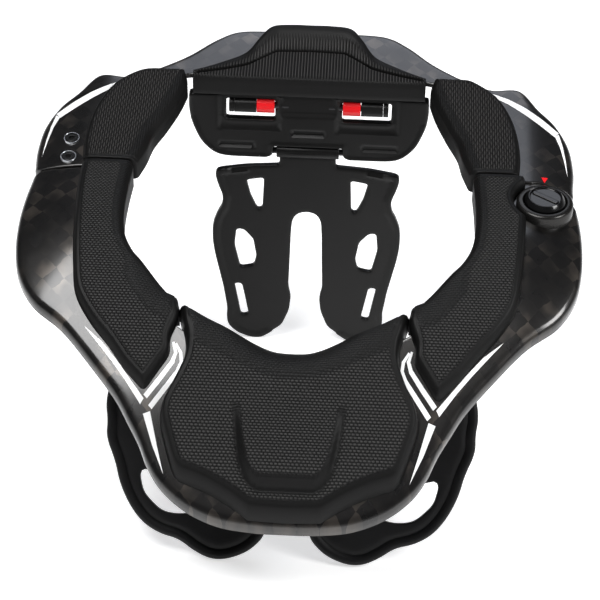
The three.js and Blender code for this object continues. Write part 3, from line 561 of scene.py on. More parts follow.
for side, sign in SIDES:
    end_y = front_y - PAD_END
    joint = np.array([(F_NECK[1][0] - 2, end_y), (F_SEAM[1][0] + 2, end_y)])
    seam = np.vstack([(F_SEAM[1][0], end_y), side_seam, TIP[0][:2]])
    end = rounded(TIP, 3, STEP, closed=False)
    neck = np.vstack([side_neck, end[-1]])
    loop = np.vstack([seam, end[1:], side_neck[::-1], (F_NECK[1][0], end_y)])
    if sign > 0:
        bite = arc(KNOB, BITE_R, 0, 360, 72)
        keep = np.linalg.norm(loop - KNOB, axis=1) > BITE_R
        bite = bite[inside(bite, loop)]
        bite = bite[np.argsort(-bite[:, 1])]
        cut = np.argmax(~keep)
        loop = np.vstack([loop[:cut][keep[:cut]], bite, loop[cut:][keep[cut:]]])
        seam = np.vstack([seam[seam[:, 1] > bite[0, 1]], bite, seam[seam[:, 1] < bite[-1, 1]]])
    loop = soften(stepped(loop, STEP), 2.5)
    seam = np.vstack([seam, end[:-2]])
    loop, seam, neck, joint = on_side(sign, loop, seam, neck, joint)
    pieces["front_pad_" + side] = pad_piece(
        "front_pad_look_" + side, loop, seam, neck, CROWN, side_roll, 3.6, joint=joint
    )

    end_y = rear_y + PAD_END
    joint = np.array([(R_NECK[1][0] - 2, end_y), (R_SEAM[1][0] + 2, end_y)])
    seam = np.vstack([(R_SEAM[1][0], end_y), smooth(R_SEAM[1:10], STEP)])
    if sign > 0:
        seam = seam - (3.4, 0) * ease((seam[:, :1] - 86) / 20)
    neck = smooth(R_NECK[1:10], STEP)
    loop = np.vstack([seam, neck[::-1], (R_NECK[1][0], end_y)])
    loop = soften(stepped(loop, STEP), 2.5)
    seam = np.vstack([seam, neck[-1]])
    loop, seam, neck, joint = on_side(sign, loop, seam, neck, joint)
    pieces["rear_pad_" + side] = pad_piece(
        "rear_pad_look_" + side, loop, seam, neck, REAR_CROWN, rear_roll, 2.4, terraces, joint=joint
    )

# Front middle pad with its raised panel
MIDDLE = [
    (62.7, -48.2, 2), (60.1, -54.7, 3), (59.4, -60.3, 3), (57, -67, 3), (56.4, -76, 5),
    (61, -86, 8), (67, -95.5, 6), (68.6, -103.5, 6), (62.5, -119, 8), (58.5, -127, 4),
    (43, -131, 10), (29.5, -136.5, 6), (19, -142, 5),
]
PANEL = [(30, -92, 6), (27, -113, 10), (24, -125, 8), (19.5, -131.5, 5), (14.5, -133.6, 4)]
middle_side = rounded(MIDDLE, 3, STEP, closed=False)
middle_foot = np.array([(12, -142.3), (0, -142.6)])
half = np.vstack([middle_side, middle_foot])
middle_seam = np.vstack([half, mirror(half)[::-1][1:]])
middle_neck = smooth(both(np.vstack([[MIDDLE[0][:2]], F_NECK[11:]])), STEP)
middle_loop = soften(stepped(np.vstack([middle_seam, middle_neck[::-1][1:-1]]), STEP), 2)
panel_side = rounded(PANEL, 5, STEP, closed=False)
panel_edge = np.vstack([panel_side, mirror(panel_side)[::-1]])
PANEL_TOP = PANEL[0][1]


def panel_relief(p, ds, dn):
    """The panel grows out of the pad towards its foot, with a groove about it."""
    grown = 5.0 * ease((PANEL_TOP - p[:, 1]) / 36)
    d = distance(p, panel_edge)
    foot = -0.9 * ease((PANEL_TOP - p[:, 1]) / 30) * np.exp(-((d / 1.8) ** 2))
    return np.where(inside(p, panel_edge), grown * ease(d / 2.8), foot)


def panel_plain(p):
    """0 on the panel's walls, 1 elsewhere."""
    d = distance(p, panel_edge) * np.where(inside(p, panel_edge), 1, -1)
    wall = ease((d + 1.6) / 0.9) * ease((3.6 - d) / 0.9) * ease((PANEL_TOP - 5 - p[:, 1]) / 6)
    return 1 - wall


pieces["front_pad_middle"] = pad_piece(
    "front_pad_look_middle", middle_loop, middle_seam, middle_neck, MIDDLE_CROWN, middle_roll, 4.2,
    panel_relief, panel_plain, 1.4,
)


# Rear middle pad: across and along of its rear edge, and its rise there
REAR_EDGE = (
    (1, 0.19, 0.02), (0.9, 0.26, 0.06), (0.75, 0.38, 0.14), (0.56, 0.56, 0.30),
    (0.44, 0.80, 0.72), (0.34, 0.96, 0.96), (0.17, 1, 1), (0, 1, 1),
)
RISE_SPAN = 40
REAR_PAD_HALF = 68.5
REAR_PAD_DEPTH = 40.5
REAR_PAD_TOP = 29.0
neck_level = float(table_z(np.array([(0.0, REAR_PAD_FRONT)]))[0])
pad_floor, pad_crest = neck_level - 8.2, neck_level + 4.9
GROOVE = np.array([(68.5, 117.5), (51, 122), (36, 127), (27, 133), (20, 138.5), (0, 139.5)])


def rear_middle_pad():
    """Swept from side to side: each section runs over the face, the groove and the shoulder."""
    edge = np.array(REAR_EDGE) * (REAR_PAD_HALF, REAR_PAD_DEPTH, RISE_SPAN) + (0, REAR_PAD_FRONT, 0)
    half = smooth(edge, 1.4)
    rows = np.vstack([half, (half * (-1, 1, 1))[::-1][1:]])
    sections, field = [], []
    for x, back, rise in rows:
        climb = rise / RISE_SPAN * (REAR_PAD_TOP - pad_crest)
        groove_y = np.interp(-abs(x), -GROOVE[:, 0], GROOVE[:, 1])
        groove_y = min(groove_y, back - 3)
        end = ease((REAR_PAD_HALF - abs(x)) / 3)
        low = pad_crest + 0.28 * climb
        f = REAR_PAD_FRONT
        pts = [(f + 2.5, pad_floor, 0), (f + 0.6, pad_floor + 0.3, 0), (f, pad_floor + 2, 0)]
        pts += [(f, z, 0) for z in np.linspace(pad_floor + 4, pad_crest - 3, 5)]
        pts += [(f + 0.5, pad_crest - 1.1, 0.2), (f + 1.6, pad_crest - 0.2, 0.6)]
        flat_end = groove_y - 0.8
        for t in np.linspace(0.1, 1, 9):
            y = f + 1.6 + t * (flat_end - f - 1.6)
            pts.append((y, pad_crest + (low - pad_crest) * t**1.2, 1))
        pts += [(groove_y - 0.2, low - 1.1 * end, 0), (groove_y + 0.5, low - 0.9 * end, 0)]
        pts.append((groove_y + 1.0, low + end, 1))
        for t in np.linspace(0.12, 1, 9):
            y = groove_y + 1.0 + t * (back - 3.0 - groove_y)
            z = low + end + (pad_crest + climb - low - end) * math.sin(t * math.pi / 2) ** 1.1
            pts.append((y, z, 1 - ease((t - 0.25) / 0.35)))
        top = pad_crest + climb
        pts += [(back - 0.9, top - 0.7, 0), (back, top - 2.2, 0)]
        seat_y = np.array([(x, back), (x, f + 6.3)])
        zs = table_z(seat_y) + SEAT
        pts += [(back, float(zs[0]), 0), (f + 6.3, float(zs[1]), 0), (f + 6.3, pad_floor + 0.1, 0)]
        sections.append([(x, y, z) for y, z, _ in pts])
        field.append([m for _, _, m in pts])
    n, m = len(sections), len(sections[0])
    points = np.array(sections).reshape(-1, 3)
    faces = []
    for i in range(n - 1):
        for k in range(m):
            a, b = i * m + k, i * m + (k + 1) % m
            faces.append((a, b, b + m, a + m))
    centre = [points[:m].mean(0), points[-m:].mean(0)]
    points = np.vstack([points, centre])
    for k in range(m):
        faces.append((n * m, (k + 1) % m, k))
        faces.append((n * m + 1, (n - 1) * m + k, (n - 1) * m + (k + 1) % m))
    masks = {"field": np.concatenate([np.array(field).ravel(), [0, 0]])}
    return mesh_object("rear_pad_look_middle", points, faces, points[:, :2], masks, 50)


pieces["rear_pad_middle"] = rear_middle_pad()

# Upper plate
PLATE_HALF, PLATE_TOP, PLATE_HEIGHT, PLATE_THICK = 71.6, neck_level - 13.6, 40.3, 6.0
PLATE_RAIL = 4.4
PLATE_EDGE = (
    (1, 0.14), (0.985, 0.34), (0.955, 0.51), (0.915, 0.69),
    (0.87, 0.81), (0.796, 0.94), (0.70, 1), (0.44, 1),
)
WINDOW_IN, WINDOW_OUT, WINDOW_DEPTH = 20.0, 49.3, 13.3
BARREL_HALF, BARREL_R = 19.3, 4.3
NOTCH = BARREL_HALF + 1.4
plate_foot = PLATE_TOP - PLATE_HEIGHT
barrel_z = plate_foot + 3.9
window_z = PLATE_TOP - WINDOW_DEPTH
rail_z = PLATE_TOP + PLATE_RAIL
half = [(PLATE_HALF - 0.4, rail_z, 1.6)]
half += [(a * PLATE_HALF, PLATE_TOP - d * PLATE_HEIGHT, 8) for a, d in PLATE_EDGE]
half += [(NOTCH + 3, plate_foot, 1.5), (NOTCH, plate_foot + 3, 1.5), (NOTCH, barrel_z + 4.4, 0.6)]
plate_loop = rounded(half + [(-x, z, r) for x, z, r in half[::-1]], 2, 1.6)
window_top = PLATE_TOP + 0.6
window = [(WINDOW_IN, window_top, 1.0), (WINDOW_IN, window_z, 1.5)]
window += [(WINDOW_OUT, window_z, 1.5), (WINDOW_OUT, window_top, 1.0)]
windows = [rounded(window, 1.2, 1.4), rounded([(-x, z, r) for x, z, r in window], 1.2, 1.4)]


def box_mask(p, x0, x1, z0, z1, soft):
    """1 inside a rounded box, easing to 0 over a soft edge."""
    dx = np.maximum(x0 - p[:, 0], p[:, 0] - x1)
    dz = np.maximum(z0 - p[:, 1], p[:, 1] - z1)
    return 1 - ease(np.maximum(dx, dz) / soft + 1)


def plate_top(p, d):
    h = np.full(len(p), PLATE_THICK / 2) + bullnose(d, 1.5)
    q = np.abs(p[:, 0])
    a = np.column_stack([q, p[:, 1]])
    h = h - 1.4 * box_mask(a, 16.5, 54, PLATE_TOP - 20.5, PLATE_TOP + 9, 1.3)
    h = h - 1.1 * box_mask(a, -14, 17, PLATE_TOP - 9.5, PLATE_TOP + 9, 1.3)
    for x, z, w in ((0, PLATE_TOP - 21.8, 10), (43, PLATE_TOP - 31.3, 11)):
        fall = np.clip((z + 2.4 - p[:, 1]) / 4.8, 0, 1)
        h = h - 1.9 * box_mask(a, x - w, x + w, z - 2.6, z + 2.4, 0.7) * (0.35 + 0.65 * fall)
    rim = 1 - ease((d - 1.4) / 1.4)
    return h + 0.5 * rim * (p[:, 1] < PLATE_TOP - 12)


plate = moulded(
    "upper_plate_look", plate_loop, plate_top, lambda p, d: -PLATE_THICK / 2 - bullnose(d, 0.8), 1.5,
    holes=windows, rings=(0.12, 0.45, 0.9, 1.5, 2.8), place=upright_place, walls=1,
)

# Strut
STRUT_HALF, STRUT_LENGTH, STRUT_THICK = 58.8, 139.3, 4.4
strut_top = barrel_z - 10.5
STRUT_EDGE = (
    (0.34, 0), (0.65, 0.011), (0.937, 0.034), (0.963, 0.057), (0.935, 0.11), (0.881, 0.177),
    (0.895, 0.233), (0.94, 0.266), (0.99, 0.327), (1, 0.373), (0.997, 0.437), (0.978, 0.503),
    (0.891, 0.694), (0.85, 0.827), (0.859, 0.868), (0.85, 0.922), (0.753, 0.971), (0.60, 1),
    (0.48, 1), (0.405, 0.977), (0.25, 0.921), (0.172, 0.83), (0.153, 0.748), (0.184, 0.691),
    (0.172, 0.523), (0.165, 0.396), (0.153, 0.306), (0.11, 0.27), (0.043, 0.255),
)
STRUT_HOLES = (
    ((0.452, 0.073), (0.636, 0.088), (0.59, 0.175), (0.52, 0.248), (0.468, 0.24)),
    (
        (0.743, 0.362), (0.665, 0.365), (0.566, 0.417), (0.532, 0.516),
        (0.56, 0.57), (0.706, 0.585), (0.765, 0.459),
    ),
    ((0.772, 0.68), (0.69, 0.679), (0.616, 0.863), (0.70, 0.872)),
)


def strut_points(rows):
    return [(a * STRUT_HALF, strut_top - d * STRUT_LENGTH) for a, d in rows]


neck_half = BARREL_HALF - 2.2
strut_half = [(neck_half, barrel_z - 3, 0.5), (neck_half, strut_top + 0.2, 2)] + strut_points(STRUT_EDGE)
strut_loop = rounded(strut_half + [(-p[0], *p[1:]) for p in strut_half[::-1]], 3.5, 1.6)
strut_holes = []
for rows in STRUT_HOLES:
    right = strut_points(rows)
    strut_holes += [rounded(right, 2.2, 1.4), rounded([(-x, z) for x, z in right], 2.2, 1.4)]
outer = np.array(strut_points(STRUT_EDGE)[1:20])


def strut_face(p, d):
    q = np.column_stack([np.abs(p[:, 0]), p[:, 1]])
    e = distance(q, outer)
    bead = ease((4.6 - e) / 1.2) * ease((p[:, 1] < strut_top - 4) * 1.0)
    return STRUT_THICK / 2 - 0.9 + bullnose(d, 1.0) + 0.9 * bead


strut = moulded(
    "strut_look", strut_loop, strut_face, lambda p, d: -STRUT_THICK / 2 - bullnose(d, 0.8), 1.6,
    holes=strut_holes, rings=(0.1, 0.4, 1.0, 3.4, 4.6), place=upright_place, walls=1,
)

# Chest pads
CHEST_HALF, CHEST_RISE, CHEST_THICK = 103.0, 80.0, 6.0
CHEST_EDGE = (
    (0.115, -0.06), (0.135, -0.125), (0.21, -0.215), (0.32, -0.27), (0.41, -0.27), (0.50, -0.215),
    (0.58, -0.14), (0.68, -0.112), (0.78, -0.037), (0.855, 0.087), (0.91, 0.237), (0.935, 0.375),
    (0.99, 0.537), (0.985, 0.66), (1, 0.775), (0.98, 0.925), (0.92, 1.06), (0.72, 1.10),
    (0.50, 1.02), (0.33, 0.86), (0.20, 0.62), (0.135, 0.35), (0.115, 0.10),
)
CHEST_SLOT = (
    (0.48, 0.06), (0.565, 0.03), (0.65, 0.037), (0.70, 0.07), (0.777, 0.17), (0.80, 0.29, 2),
    (0.785, 0.335, 1.5), (0.68, 0.30), (0.57, 0.19),
)


def chest_points(rows, sign):
    return [(sign * row[0] * CHEST_HALF, row[1] * CHEST_RISE, *row[2:]) for row in rows]


for side, sign in SIDES:
    loop = rounded(chest_points(CHEST_EDGE, sign), 9, 1.8)
    hole = rounded(chest_points(CHEST_SLOT, sign), 4, 1.6)

    def chest_face(p, d, edge=loop):
        e = distance(p, edge, True)
        groove = np.exp(-(((e - 5.6) / 1.0) ** 2))
        edges = bullnose(e, 2.4) + bullnose(d, 0.8) * (d < e)
        return CHEST_THICK / 2 + edges - 1.5 * groove - 0.6 * ease((e - 5.6) / 1.5)

    pieces["chest_pad_" + side] = moulded(
        "chest_pad_look_" + side, loop, chest_face, lambda p, d: -CHEST_THICK / 2 - bullnose(d, 1.2), 1.9,
        holes=[hole], rings=(0.1, 0.5, 1.2, 2.4, 4.4, 5.6, 6.8), place=chest_place, walls=2,
    )


def lathe(name, rows, n, place, plan, sharp):
    """Closed piece turned about a line. Rows are radius and distance along it, first and last on it."""
    angles = np.linspace(0, 2 * np.pi, n, endpoint=False)
    points = [place(0, 0, rows[0][1])]
    for r, h in rows[1:-1]:
        points += [place(r * math.cos(t), r * math.sin(t), h) for t in angles]
    points.append(place(0, 0, rows[-1][1]))
    faces = []
    m = len(rows) - 2
    for i in range(n):
        j = (i + 1) % n
        faces.append((0, 1 + i, 1 + j))
        for k in range(m - 1):
            a, b = 1 + k * n, 1 + (k + 1) * n
            faces.append((a + i, b + i, b + j, a + j))
        faces.append((1 + (m - 1) * n + i, len(points) - 1, 1 + (m - 1) * n + j))
    p = np.array(points)
    return mesh_object(name, p, faces, p[:, plan], None, sharp)


def turned(name, rows, centre, n=72):
    """Piece turned about an upright line, from the middle of its top to the middle of its foot."""
    return lathe(name, rows, n, lambda a, b, z: (centre[0] + a, centre[1] + b, z), [0, 1], 30)


def rod(name, middle, half, radius, y, z, n=40):
    """Round bar along x with eased ends, half its length to each side of middle."""
    rows = [(0, half), (radius - 0.5, half), (radius - 0.15, half - 0.15), (radius, half - 0.5)]
    rows += [(r, -x) for r, x in rows[::-1]]
    return lathe(name, rows, n, lambda a, b, x: (middle + x, y + a, z + b), [0, 2], 40)


def hoop(name, rows, centre, n, slope=0.0):
    """Closed ring of one section, rows of radius and height. Slope is its rise to the rear."""
    points, faces = [], []
    for i in range(n):
        t = 2 * math.pi * i / n
        dx, dy = math.cos(t), math.sin(t)
        points += [(centre[0] + r * dx, centre[1] + r * dy, z + slope * r * dy) for r, z in rows]
    m = len(rows)
    for i in range(n):
        j = (i + 1) % n
        for k in range(m):
            l = (k + 1) % m
            faces.append((i * m + k, i * m + l, j * m + l, j * m + k))
    p = np.array(points)
    return mesh_object(name, p, faces, p[:, :2], None, 35)


# Knob with its bar, inside the collar of the front half
COLLAR_TOP, COLLAR_FOOT, COLLAR_SEAT = 3.0, -6.4, -0.6
KNOB_FOOT, KNOB_TOP = 0.55, 5.95
BAR_HALF, BAR_SIDE, BAR_TURN = 8.1, 1.5, math.radians(-35)
rows = [(COLLAR_IN_R, COLLAR_SEAT), (COLLAR_IN_R, COLLAR_TOP - 0.5), (COLLAR_IN_R + 0.5, COLLAR_TOP)]
rows += [(COLLAR_R - 1.6, COLLAR_TOP), (COLLAR_R - 0.6, COLLAR_TOP - 0.5), (COLLAR_R, COLLAR_TOP - 1.6)]
rows += [(COLLAR_R, COLLAR_FOOT), (COLLAR_IN_R - 1, COLLAR_FOOT), (COLLAR_IN_R - 1, COLLAR_SEAT)]
collar = hoop("knob_collar", rows, KNOB, 96)
rows = [(0, KNOB_TOP - 0.9), (8.3, KNOB_TOP - 0.9), (8.5, KNOB_TOP - 0.75), (8.7, KNOB_TOP - 0.15)]
rows += [(9.0, KNOB_TOP), (9.35, KNOB_TOP - 0.05), (9.6, KNOB_TOP - 0.3), (11.0, KNOB_FOOT + 3.3)]
rows += [(11.3, KNOB_FOOT + 2.8), (11.3, KNOB_FOOT), (0, KNOB_FOOT)]
knob = turned("release_knob_look", rows, KNOB)
corners = [(-BAR_HALF, -BAR_SIDE), (BAR_HALF, -BAR_SIDE), (BAR_HALF, BAR_SIDE), (-BAR_HALF, BAR_SIDE)]
bar_x, bar_y = rounded(corners, 0.9, 0.5).T
c, s = math.cos(BAR_TURN), math.sin(BAR_TURN)
bar = moulded(
    "knob_bar", np.stack([KNOB[0] + bar_x * c - bar_y * s, KNOB[1] + bar_x * s + bar_y * c], 1),
    lambda p, d: KNOB_TOP - 0.15 + bullnose(d, 0.5), lambda p, d: KNOB_TOP - 1.5 + 0 * d,
    0.9, rings=(0.1, 0.3, 0.5),
)


# Painted stripes and mark, a thin skin over the shell
def skin(name, loop, lift=0.16, step=1.8, thick=0.1):
    return moulded(
        name, stepped(np.asarray(loop, float), step),
        lambda p, d: table_z(p) + lift, lambda p, d: table_z(p) + lift - thick, step, rings=(0.4,),
    )


def band(points, widths):
    """Outline about a centre line, with a width at each of its points."""
    p = np.array(points, float)
    along = np.gradient(p, axis=0)
    normal = np.stack([-along[:, 1], along[:, 0]], 1)
    normal /= np.linalg.norm(normal, axis=1, keepdims=True)
    w = np.array(widths, float)[:, None] / 2
    return np.vstack([p + normal * w, (p - normal * w)[::-1]])


OUTER_LINE = [(76.6, -92.4), (69.6, -84.4), (63.4, -76.6), (61.9, -72.2), (63.6, -67.4)]
INNER_LINE = [(73.7, -96.9), (66.9, -88.9), (60.5, -81), (58.6, -76.6), (59.2, -72.4), (62.2, -68)]
STRIPES = {
    "front": {
        "wedge": [
            (112, -61.5), (104.3, -69), (95.5, -77.6), (87.6, -85.9), (79, -95.8),
            (77.4, -93.2), (84.4, -86), (92.6, -77.3), (101.4, -68.8),
        ],
        "outer": band(OUTER_LINE, [2.5, 2.5, 2.2, 1.9, 1.2]),
        "inner": band(INNER_LINE, [2.5, 2.5, 2.2, 1.9, 1.7, 1.2]),
        "lower": [(77.2, -99.8), (73.5, -98.6), (68.9, -112.6), (64.6, -124.6), (71.3, -112.8)],
    },
    "rear": {
        "long": [
            (145.9, 88.4), (136.8, 96.4), (127.2, 103.8), (116.6, 110.4), (105, 115.6), (94, 119.4),
            (104.4, 113.4), (115.6, 107), (126.2, 98.9), (135, 91.7), (143.3, 84.8),
        ],
        "short": [
            (145.9, 87.4), (147.9, 78), (149.2, 67), (149.8, 54.5),
            (148.2, 66.5), (146.2, 77.5), (143.5, 85.2),
        ],
    },
}
stripes = []
for body, shapes in STRIPES.items():
    for side, sign in SIDES:
        for key, loop in shapes.items():
            stripes.append((body, skin("stripe_%s_%s" % (key, side), np.array(loop) * (sign, 1))))
mark = skin("knob_mark", [(134.4, 49.6), (138.2, 49.9), (136.0, 45.4)])

# Pieces kept from the solids get small rounded edges
EDGE_WIDTH, EDGE_ANGLE = 0.35, math.radians(30)
for name, o in NODES.items():
    if name in ("front_frame", "rear_frame"):
        continue
    m = o.modifiers.new("edge", "BEVEL")
    m.width = EDGE_WIDTH / 1000
    m.segments = 2
    m.limit_method = "ANGLE"
    m.angle_limit = EDGE_ANGLE
    m.harden_normals = False
    o.data.shade_smooth()
    o.data.set_sharp_from_angle(angle=EDGE_ANGLE)

# Materials, with the sizes of their patterns in millimetres
WHITE = (1, 1, 1)
TOW_WIDTH = 8.8
RIB_PITCH = 1.75
PATTERN = {"brick": (2.2, 1.35), "weave": (5.2, 1.3)}


def new_material(name):
    m = bpy.data.materials.new(name)
    m.use_nodes = True
    t = m.node_tree
    t.nodes.clear()
    out = t.nodes.new("ShaderNodeOutputMaterial")
    b = t.nodes.new("ShaderNodeBsdfPrincipled")
    t.links.new(b.outputs[0], out.inputs[0])
    return m, t, b


def node(t, kind, **values):
    n = t.nodes.new(kind)
    for key, v in values.items():
        setattr(n, key, v)
    return n


def link(t, a, b):
    t.links.new(a, b)


def maths(t, operation, *operands, clamp=False):
    n = node(t, "ShaderNodeMath", operation=operation, use_clamp=clamp)
    for i, v in enumerate(operands):
        if isinstance(v, (int, float)):
            n.inputs[i].default_value = v
        else:
            link(t, v, n.inputs[i])
    return n.outputs[0]


def tinted(colour, *stops):
    """Ramp stops: a place and the share of the colour that stands there."""
    return [(at, tuple(min(1, k * c) for c in colour)) for at, k in stops]


def noise(t, vector, scale, detail=2):
    n = t.nodes.new("ShaderNodeTexNoise")
    n.inputs["Scale"].default_value = scale
    n.inputs["Detail"].default_value = detail
    if vector is not None:
        link(t, vector, n.inputs["Vector"])
    return n


def own_place(t):
    return t.nodes.new("ShaderNodeTexCoord").outputs["Object"]


def ramp(t, source, stops):
    n = t.nodes.new("ShaderNodeValToRGB")
    e = n.color_ramp.elements
    while len(e) < len(stops):
        e.new(0.5)
    for k, (pos, col) in zip(e, stops):
        k.position = pos
        k.color = (*col, 1)
    link(t, source, n.inputs[0])
    return n.outputs[0]


def bump(t, height, strength, mm, normal=None):
    n = t.nodes.new("ShaderNodeBump")
    n.inputs["Strength"].default_value = strength
    n.inputs["Distance"].default_value = mm / 1000
    link(t, height, n.inputs["Height"])
    if normal is not None:
        link(t, normal, n.inputs["Normal"])
    return n.outputs[0]


def plan_uv(t, turn=0.0, scale=1.0):
    """Plan coordinates in hundreds of millimetres, turned and scaled: x, y and both."""
    uv = t.nodes.new("ShaderNodeUVMap")
    uv.uv_map = "plan"
    m = t.nodes.new("ShaderNodeMapping")
    m.inputs["Rotation"].default_value = (0, 0, math.radians(turn))
    m.inputs["Scale"].default_value = (scale, scale, 1)
    link(t, uv.outputs[0], m.inputs[0])
    s = t.nodes.new("ShaderNodeSeparateXYZ")
    link(t, m.outputs[0], s.inputs[0])
    return s.outputs[0], s.outputs[1], m.outputs[0]


def carbon():
    """Spread-tow weave: squares of flat tows set on their corners, under clear lacquer."""
    m, t, b = new_material("carbon_shell")
    x, y, uv = plan_uv(t, 45, 100 / TOW_WIDTH)
    shift = t.nodes.new("ShaderNodeSeparateColor")
    link(t, noise(t, uv, 1.1).outputs["Color"], shift.inputs[0])
    cell = t.nodes.new("ShaderNodeCombineXYZ")
    floors = []
    for k, at in enumerate((x, y)):
        off = maths(t, "MULTIPLY", maths(t, "SUBTRACT", shift.outputs[k], 0.5), 0.42)
        floors.append(maths(t, "FLOOR", maths(t, "ADD", at, off)))
        link(t, floors[k], cell.inputs[k])
    odd = maths(t, "MODULO", maths(t, "ADD", floors[0], maths(t, "ADD", floors[1], 1000)), 2)
    odd = maths(t, "GREATER_THAN", odd, 0.5)
    white = node(t, "ShaderNodeTexWhiteNoise", noise_dimensions="2D")
    link(t, cell.outputs[0], white.inputs["Vector"])
    patch = ramp(t, noise(t, uv, 0.42).outputs[0], tinted(WHITE, (0.36, 0.12), (0.66, 1)))
    lit = maths(t, "ADD", maths(t, "MULTIPLY", odd, 0.5), maths(t, "MULTIPLY", white.outputs[0], 0.26))
    mottle = maths(t, "MULTIPLY", noise(t, uv, 1.4, 3).outputs[0], 0.34)
    shade = maths(t, "ADD", maths(t, "MULTIPLY", lit, patch), mottle, clamp=True)
    stops = [(0.12, (0.003, 0.0028, 0.0028)), (0.5, (0.013, 0.0117, 0.0106)), (1, (0.075, 0.063, 0.052))]
    link(t, ramp(t, shade, stops), b.inputs["Base Color"])
    mix = t.nodes.new("ShaderNodeMix")
    link(t, odd, mix.inputs[0])
    for k, way in ((2, "X"), (3, "Y")):
        fibre = node(t, "ShaderNodeTexWave", bands_direction=way)
        fibre.inputs["Scale"].default_value = 9
        fibre.inputs["Distortion"].default_value = 0.6
        fibre.inputs["Detail"].default_value = 2
        link(t, uv, fibre.inputs["Vector"])
        link(t, fibre.outputs["Fac"], mix.inputs[k])
    link(t, bump(t, mix.outputs[0], 0.25, 0.05), b.inputs["Normal"])
    b.inputs["Roughness"].default_value = 0.38
    b.inputs["Metallic"].default_value = 0.75
    b.inputs["Coat Weight"].default_value = 1.0
    b.inputs["Coat Roughness"].default_value = 0.16
    link(t, bump(t, noise(t, own_place(t), 14).outputs[0], 0.3, 0.6), b.inputs["Coat Normal"])
    return m


def foam(name, kind, colour):
    """Moulded foam: a pressed pattern inside the pads' fields, with painted highlights on the pattern's raised
    tops, and a faint grain all over.
    """
    m, t, b = new_material(name)
    x, y, _ = plan_uv(t, 0, 100)
    field = node(t, "ShaderNodeAttribute", attribute_name="field")
    if kind == "rib":
        height = maths(t, "SINE", maths(t, "MULTIPLY", x, 2 * math.pi / RIB_PITCH))
        height = maths(t, "ADD", maths(t, "MULTIPLY", height, 0.5), 0.5)
    else:
        across, along = (x, y) if kind == "brick" else (y, x)
        wide, deep = PATTERN[kind]
        row = maths(t, "DIVIDE", along, deep)
        odd = maths(t, "MODULO", maths(t, "ADD", maths(t, "FLOOR", row), 1000), 2)
        lift = maths(t, "SINE", maths(t, "MULTIPLY", maths(t, "FRACT", row), math.pi))
        turn = maths(t, "ADD", maths(t, "DIVIDE", across, wide), maths(t, "MULTIPLY", odd, 0.5))
        turn = maths(t, "FRACT", maths(t, "ADD", turn, 1000))
        swell = maths(t, "SINE", maths(t, "MULTIPLY", turn, math.pi))
        height = maths(t, "MULTIPLY", maths(t, "POWER", lift, 0.7), maths(t, "POWER", swell, 0.45))
    fine = bump(t, noise(t, own_place(t), 1500).outputs[0], 0.35, 0.12)
    pressed = maths(t, "MULTIPLY", height, field.outputs["Fac"])
    link(t, bump(t, pressed, 1.0, 0.5, fine), b.inputs["Normal"])
    # Painted highlight: the base colour rises to six times its value on the raised tops of the pressed pattern, in
    # place of the light they catch.
    painted_dash_highlight = ramp(t, pressed, tinted(colour, (0, 0.4), (0.45, 0.5), (1, 6)))
    link(t, painted_dash_highlight, b.inputs["Base Color"])
    b.inputs["Roughness"].default_value = 0.5
    b.inputs["Specular IOR Level"].default_value = 0.17
    return m


def plastic(name, colour, rough, grain_mm, scale, coat=0.0, metal=0.0):
    """Moulded plastic or machined metal with a fine grain in its gloss and surface."""
    m, t, b = new_material(name)
    place = own_place(t)
    cloud = noise(t, place, 24).outputs[0]
    link(t, bump(t, noise(t, place, scale).outputs[0], 0.4, grain_mm), b.inputs["Normal"])
    link(t, ramp(t, cloud, tinted(colour, (0.3, 0.8), (0.7, 1.15))), b.inputs["Base Color"])
    link(t, maths(t, "MULTIPLY_ADD", cloud, 0.14, rough - 0.07), b.inputs["Roughness"])
    b.inputs["Coat Weight"].default_value = coat
    b.inputs["Metallic"].default_value = metal
    if not metal:
        b.inputs["Specular IOR Level"].default_value = 0.18
    return m


looks = {
    "carbon": carbon(),
    "front_foam": foam("front_foam", "brick", (0.0065, 0.0064, 0.0062)),
    "rear_foam": foam("rear_foam", "weave", (0.006, 0.0057, 0.0055)),
    "rib_foam": foam("rib_foam", "rib", (0.0065, 0.0063, 0.0062)),
    "chest": plastic("chest_foam", (0.0045, 0.0045, 0.0048), 0.5, 0.12, 900),
    "plastic": plastic("black_plastic", (0.004, 0.0039, 0.0038), 0.36, 0.05, 900),
    "gloss": plastic("gloss_plastic", (0.003, 0.003, 0.0032), 0.22, 0.02, 500, coat=0.4),
    "satin": plastic("satin_ring", (0.024, 0.023, 0.022), 0.27, 0.02, 500, metal=0.7),
    "screw": plastic("black_screw", (0.006, 0.006, 0.006), 0.3, 0.02, 500),
    "bright": plastic("bright_ring", (0.55, 0.56, 0.58), 0.28, 0.02, 500, metal=1.0),
    "red": plastic("red_plastic", (0.7, 0.01, 0.014), 0.33, 0.03, 500, coat=0.3),
    "steel": plastic("steel", (0.05, 0.05, 0.052), 0.3, 0.02, 500, metal=1.0),
    "white": plastic("white_paint", (0.93, 0.93, 0.93), 0.4, 0.02, 300, coat=0.6),
}


def dress(o, look):
    o.data.materials.clear()
    o.data.materials.append(looks[look])


slots = {s["node"]: s["material_slot"] for s in frame["record"]["subparts"]}
kept = {"shell": "carbon", "foam": "front_foam"}
for name, o in NODES.items():
    dress(o, kept.get(slots[name], slots[name]))


def put(o, body, slot, look, *replaced):
    dress(o, look)
    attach(o, body)
    if replaced:
        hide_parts(*replaced)


# Black ends of the plate's knuckles, out to the windows' sides
KNUCKLE_X, KNUCKLE_HALF, KNUCKLE_R = 45.9, 1.5, 4.9
for side, sign in SIDES:
    end = rod("knuckle_end_" + side, sign * KNUCKLE_X, KNUCKLE_HALF, KNUCKLE_R, PLATE_Y, PLATE_TOP - 3.5)
    put(end, "rear", "plastic", "plastic")

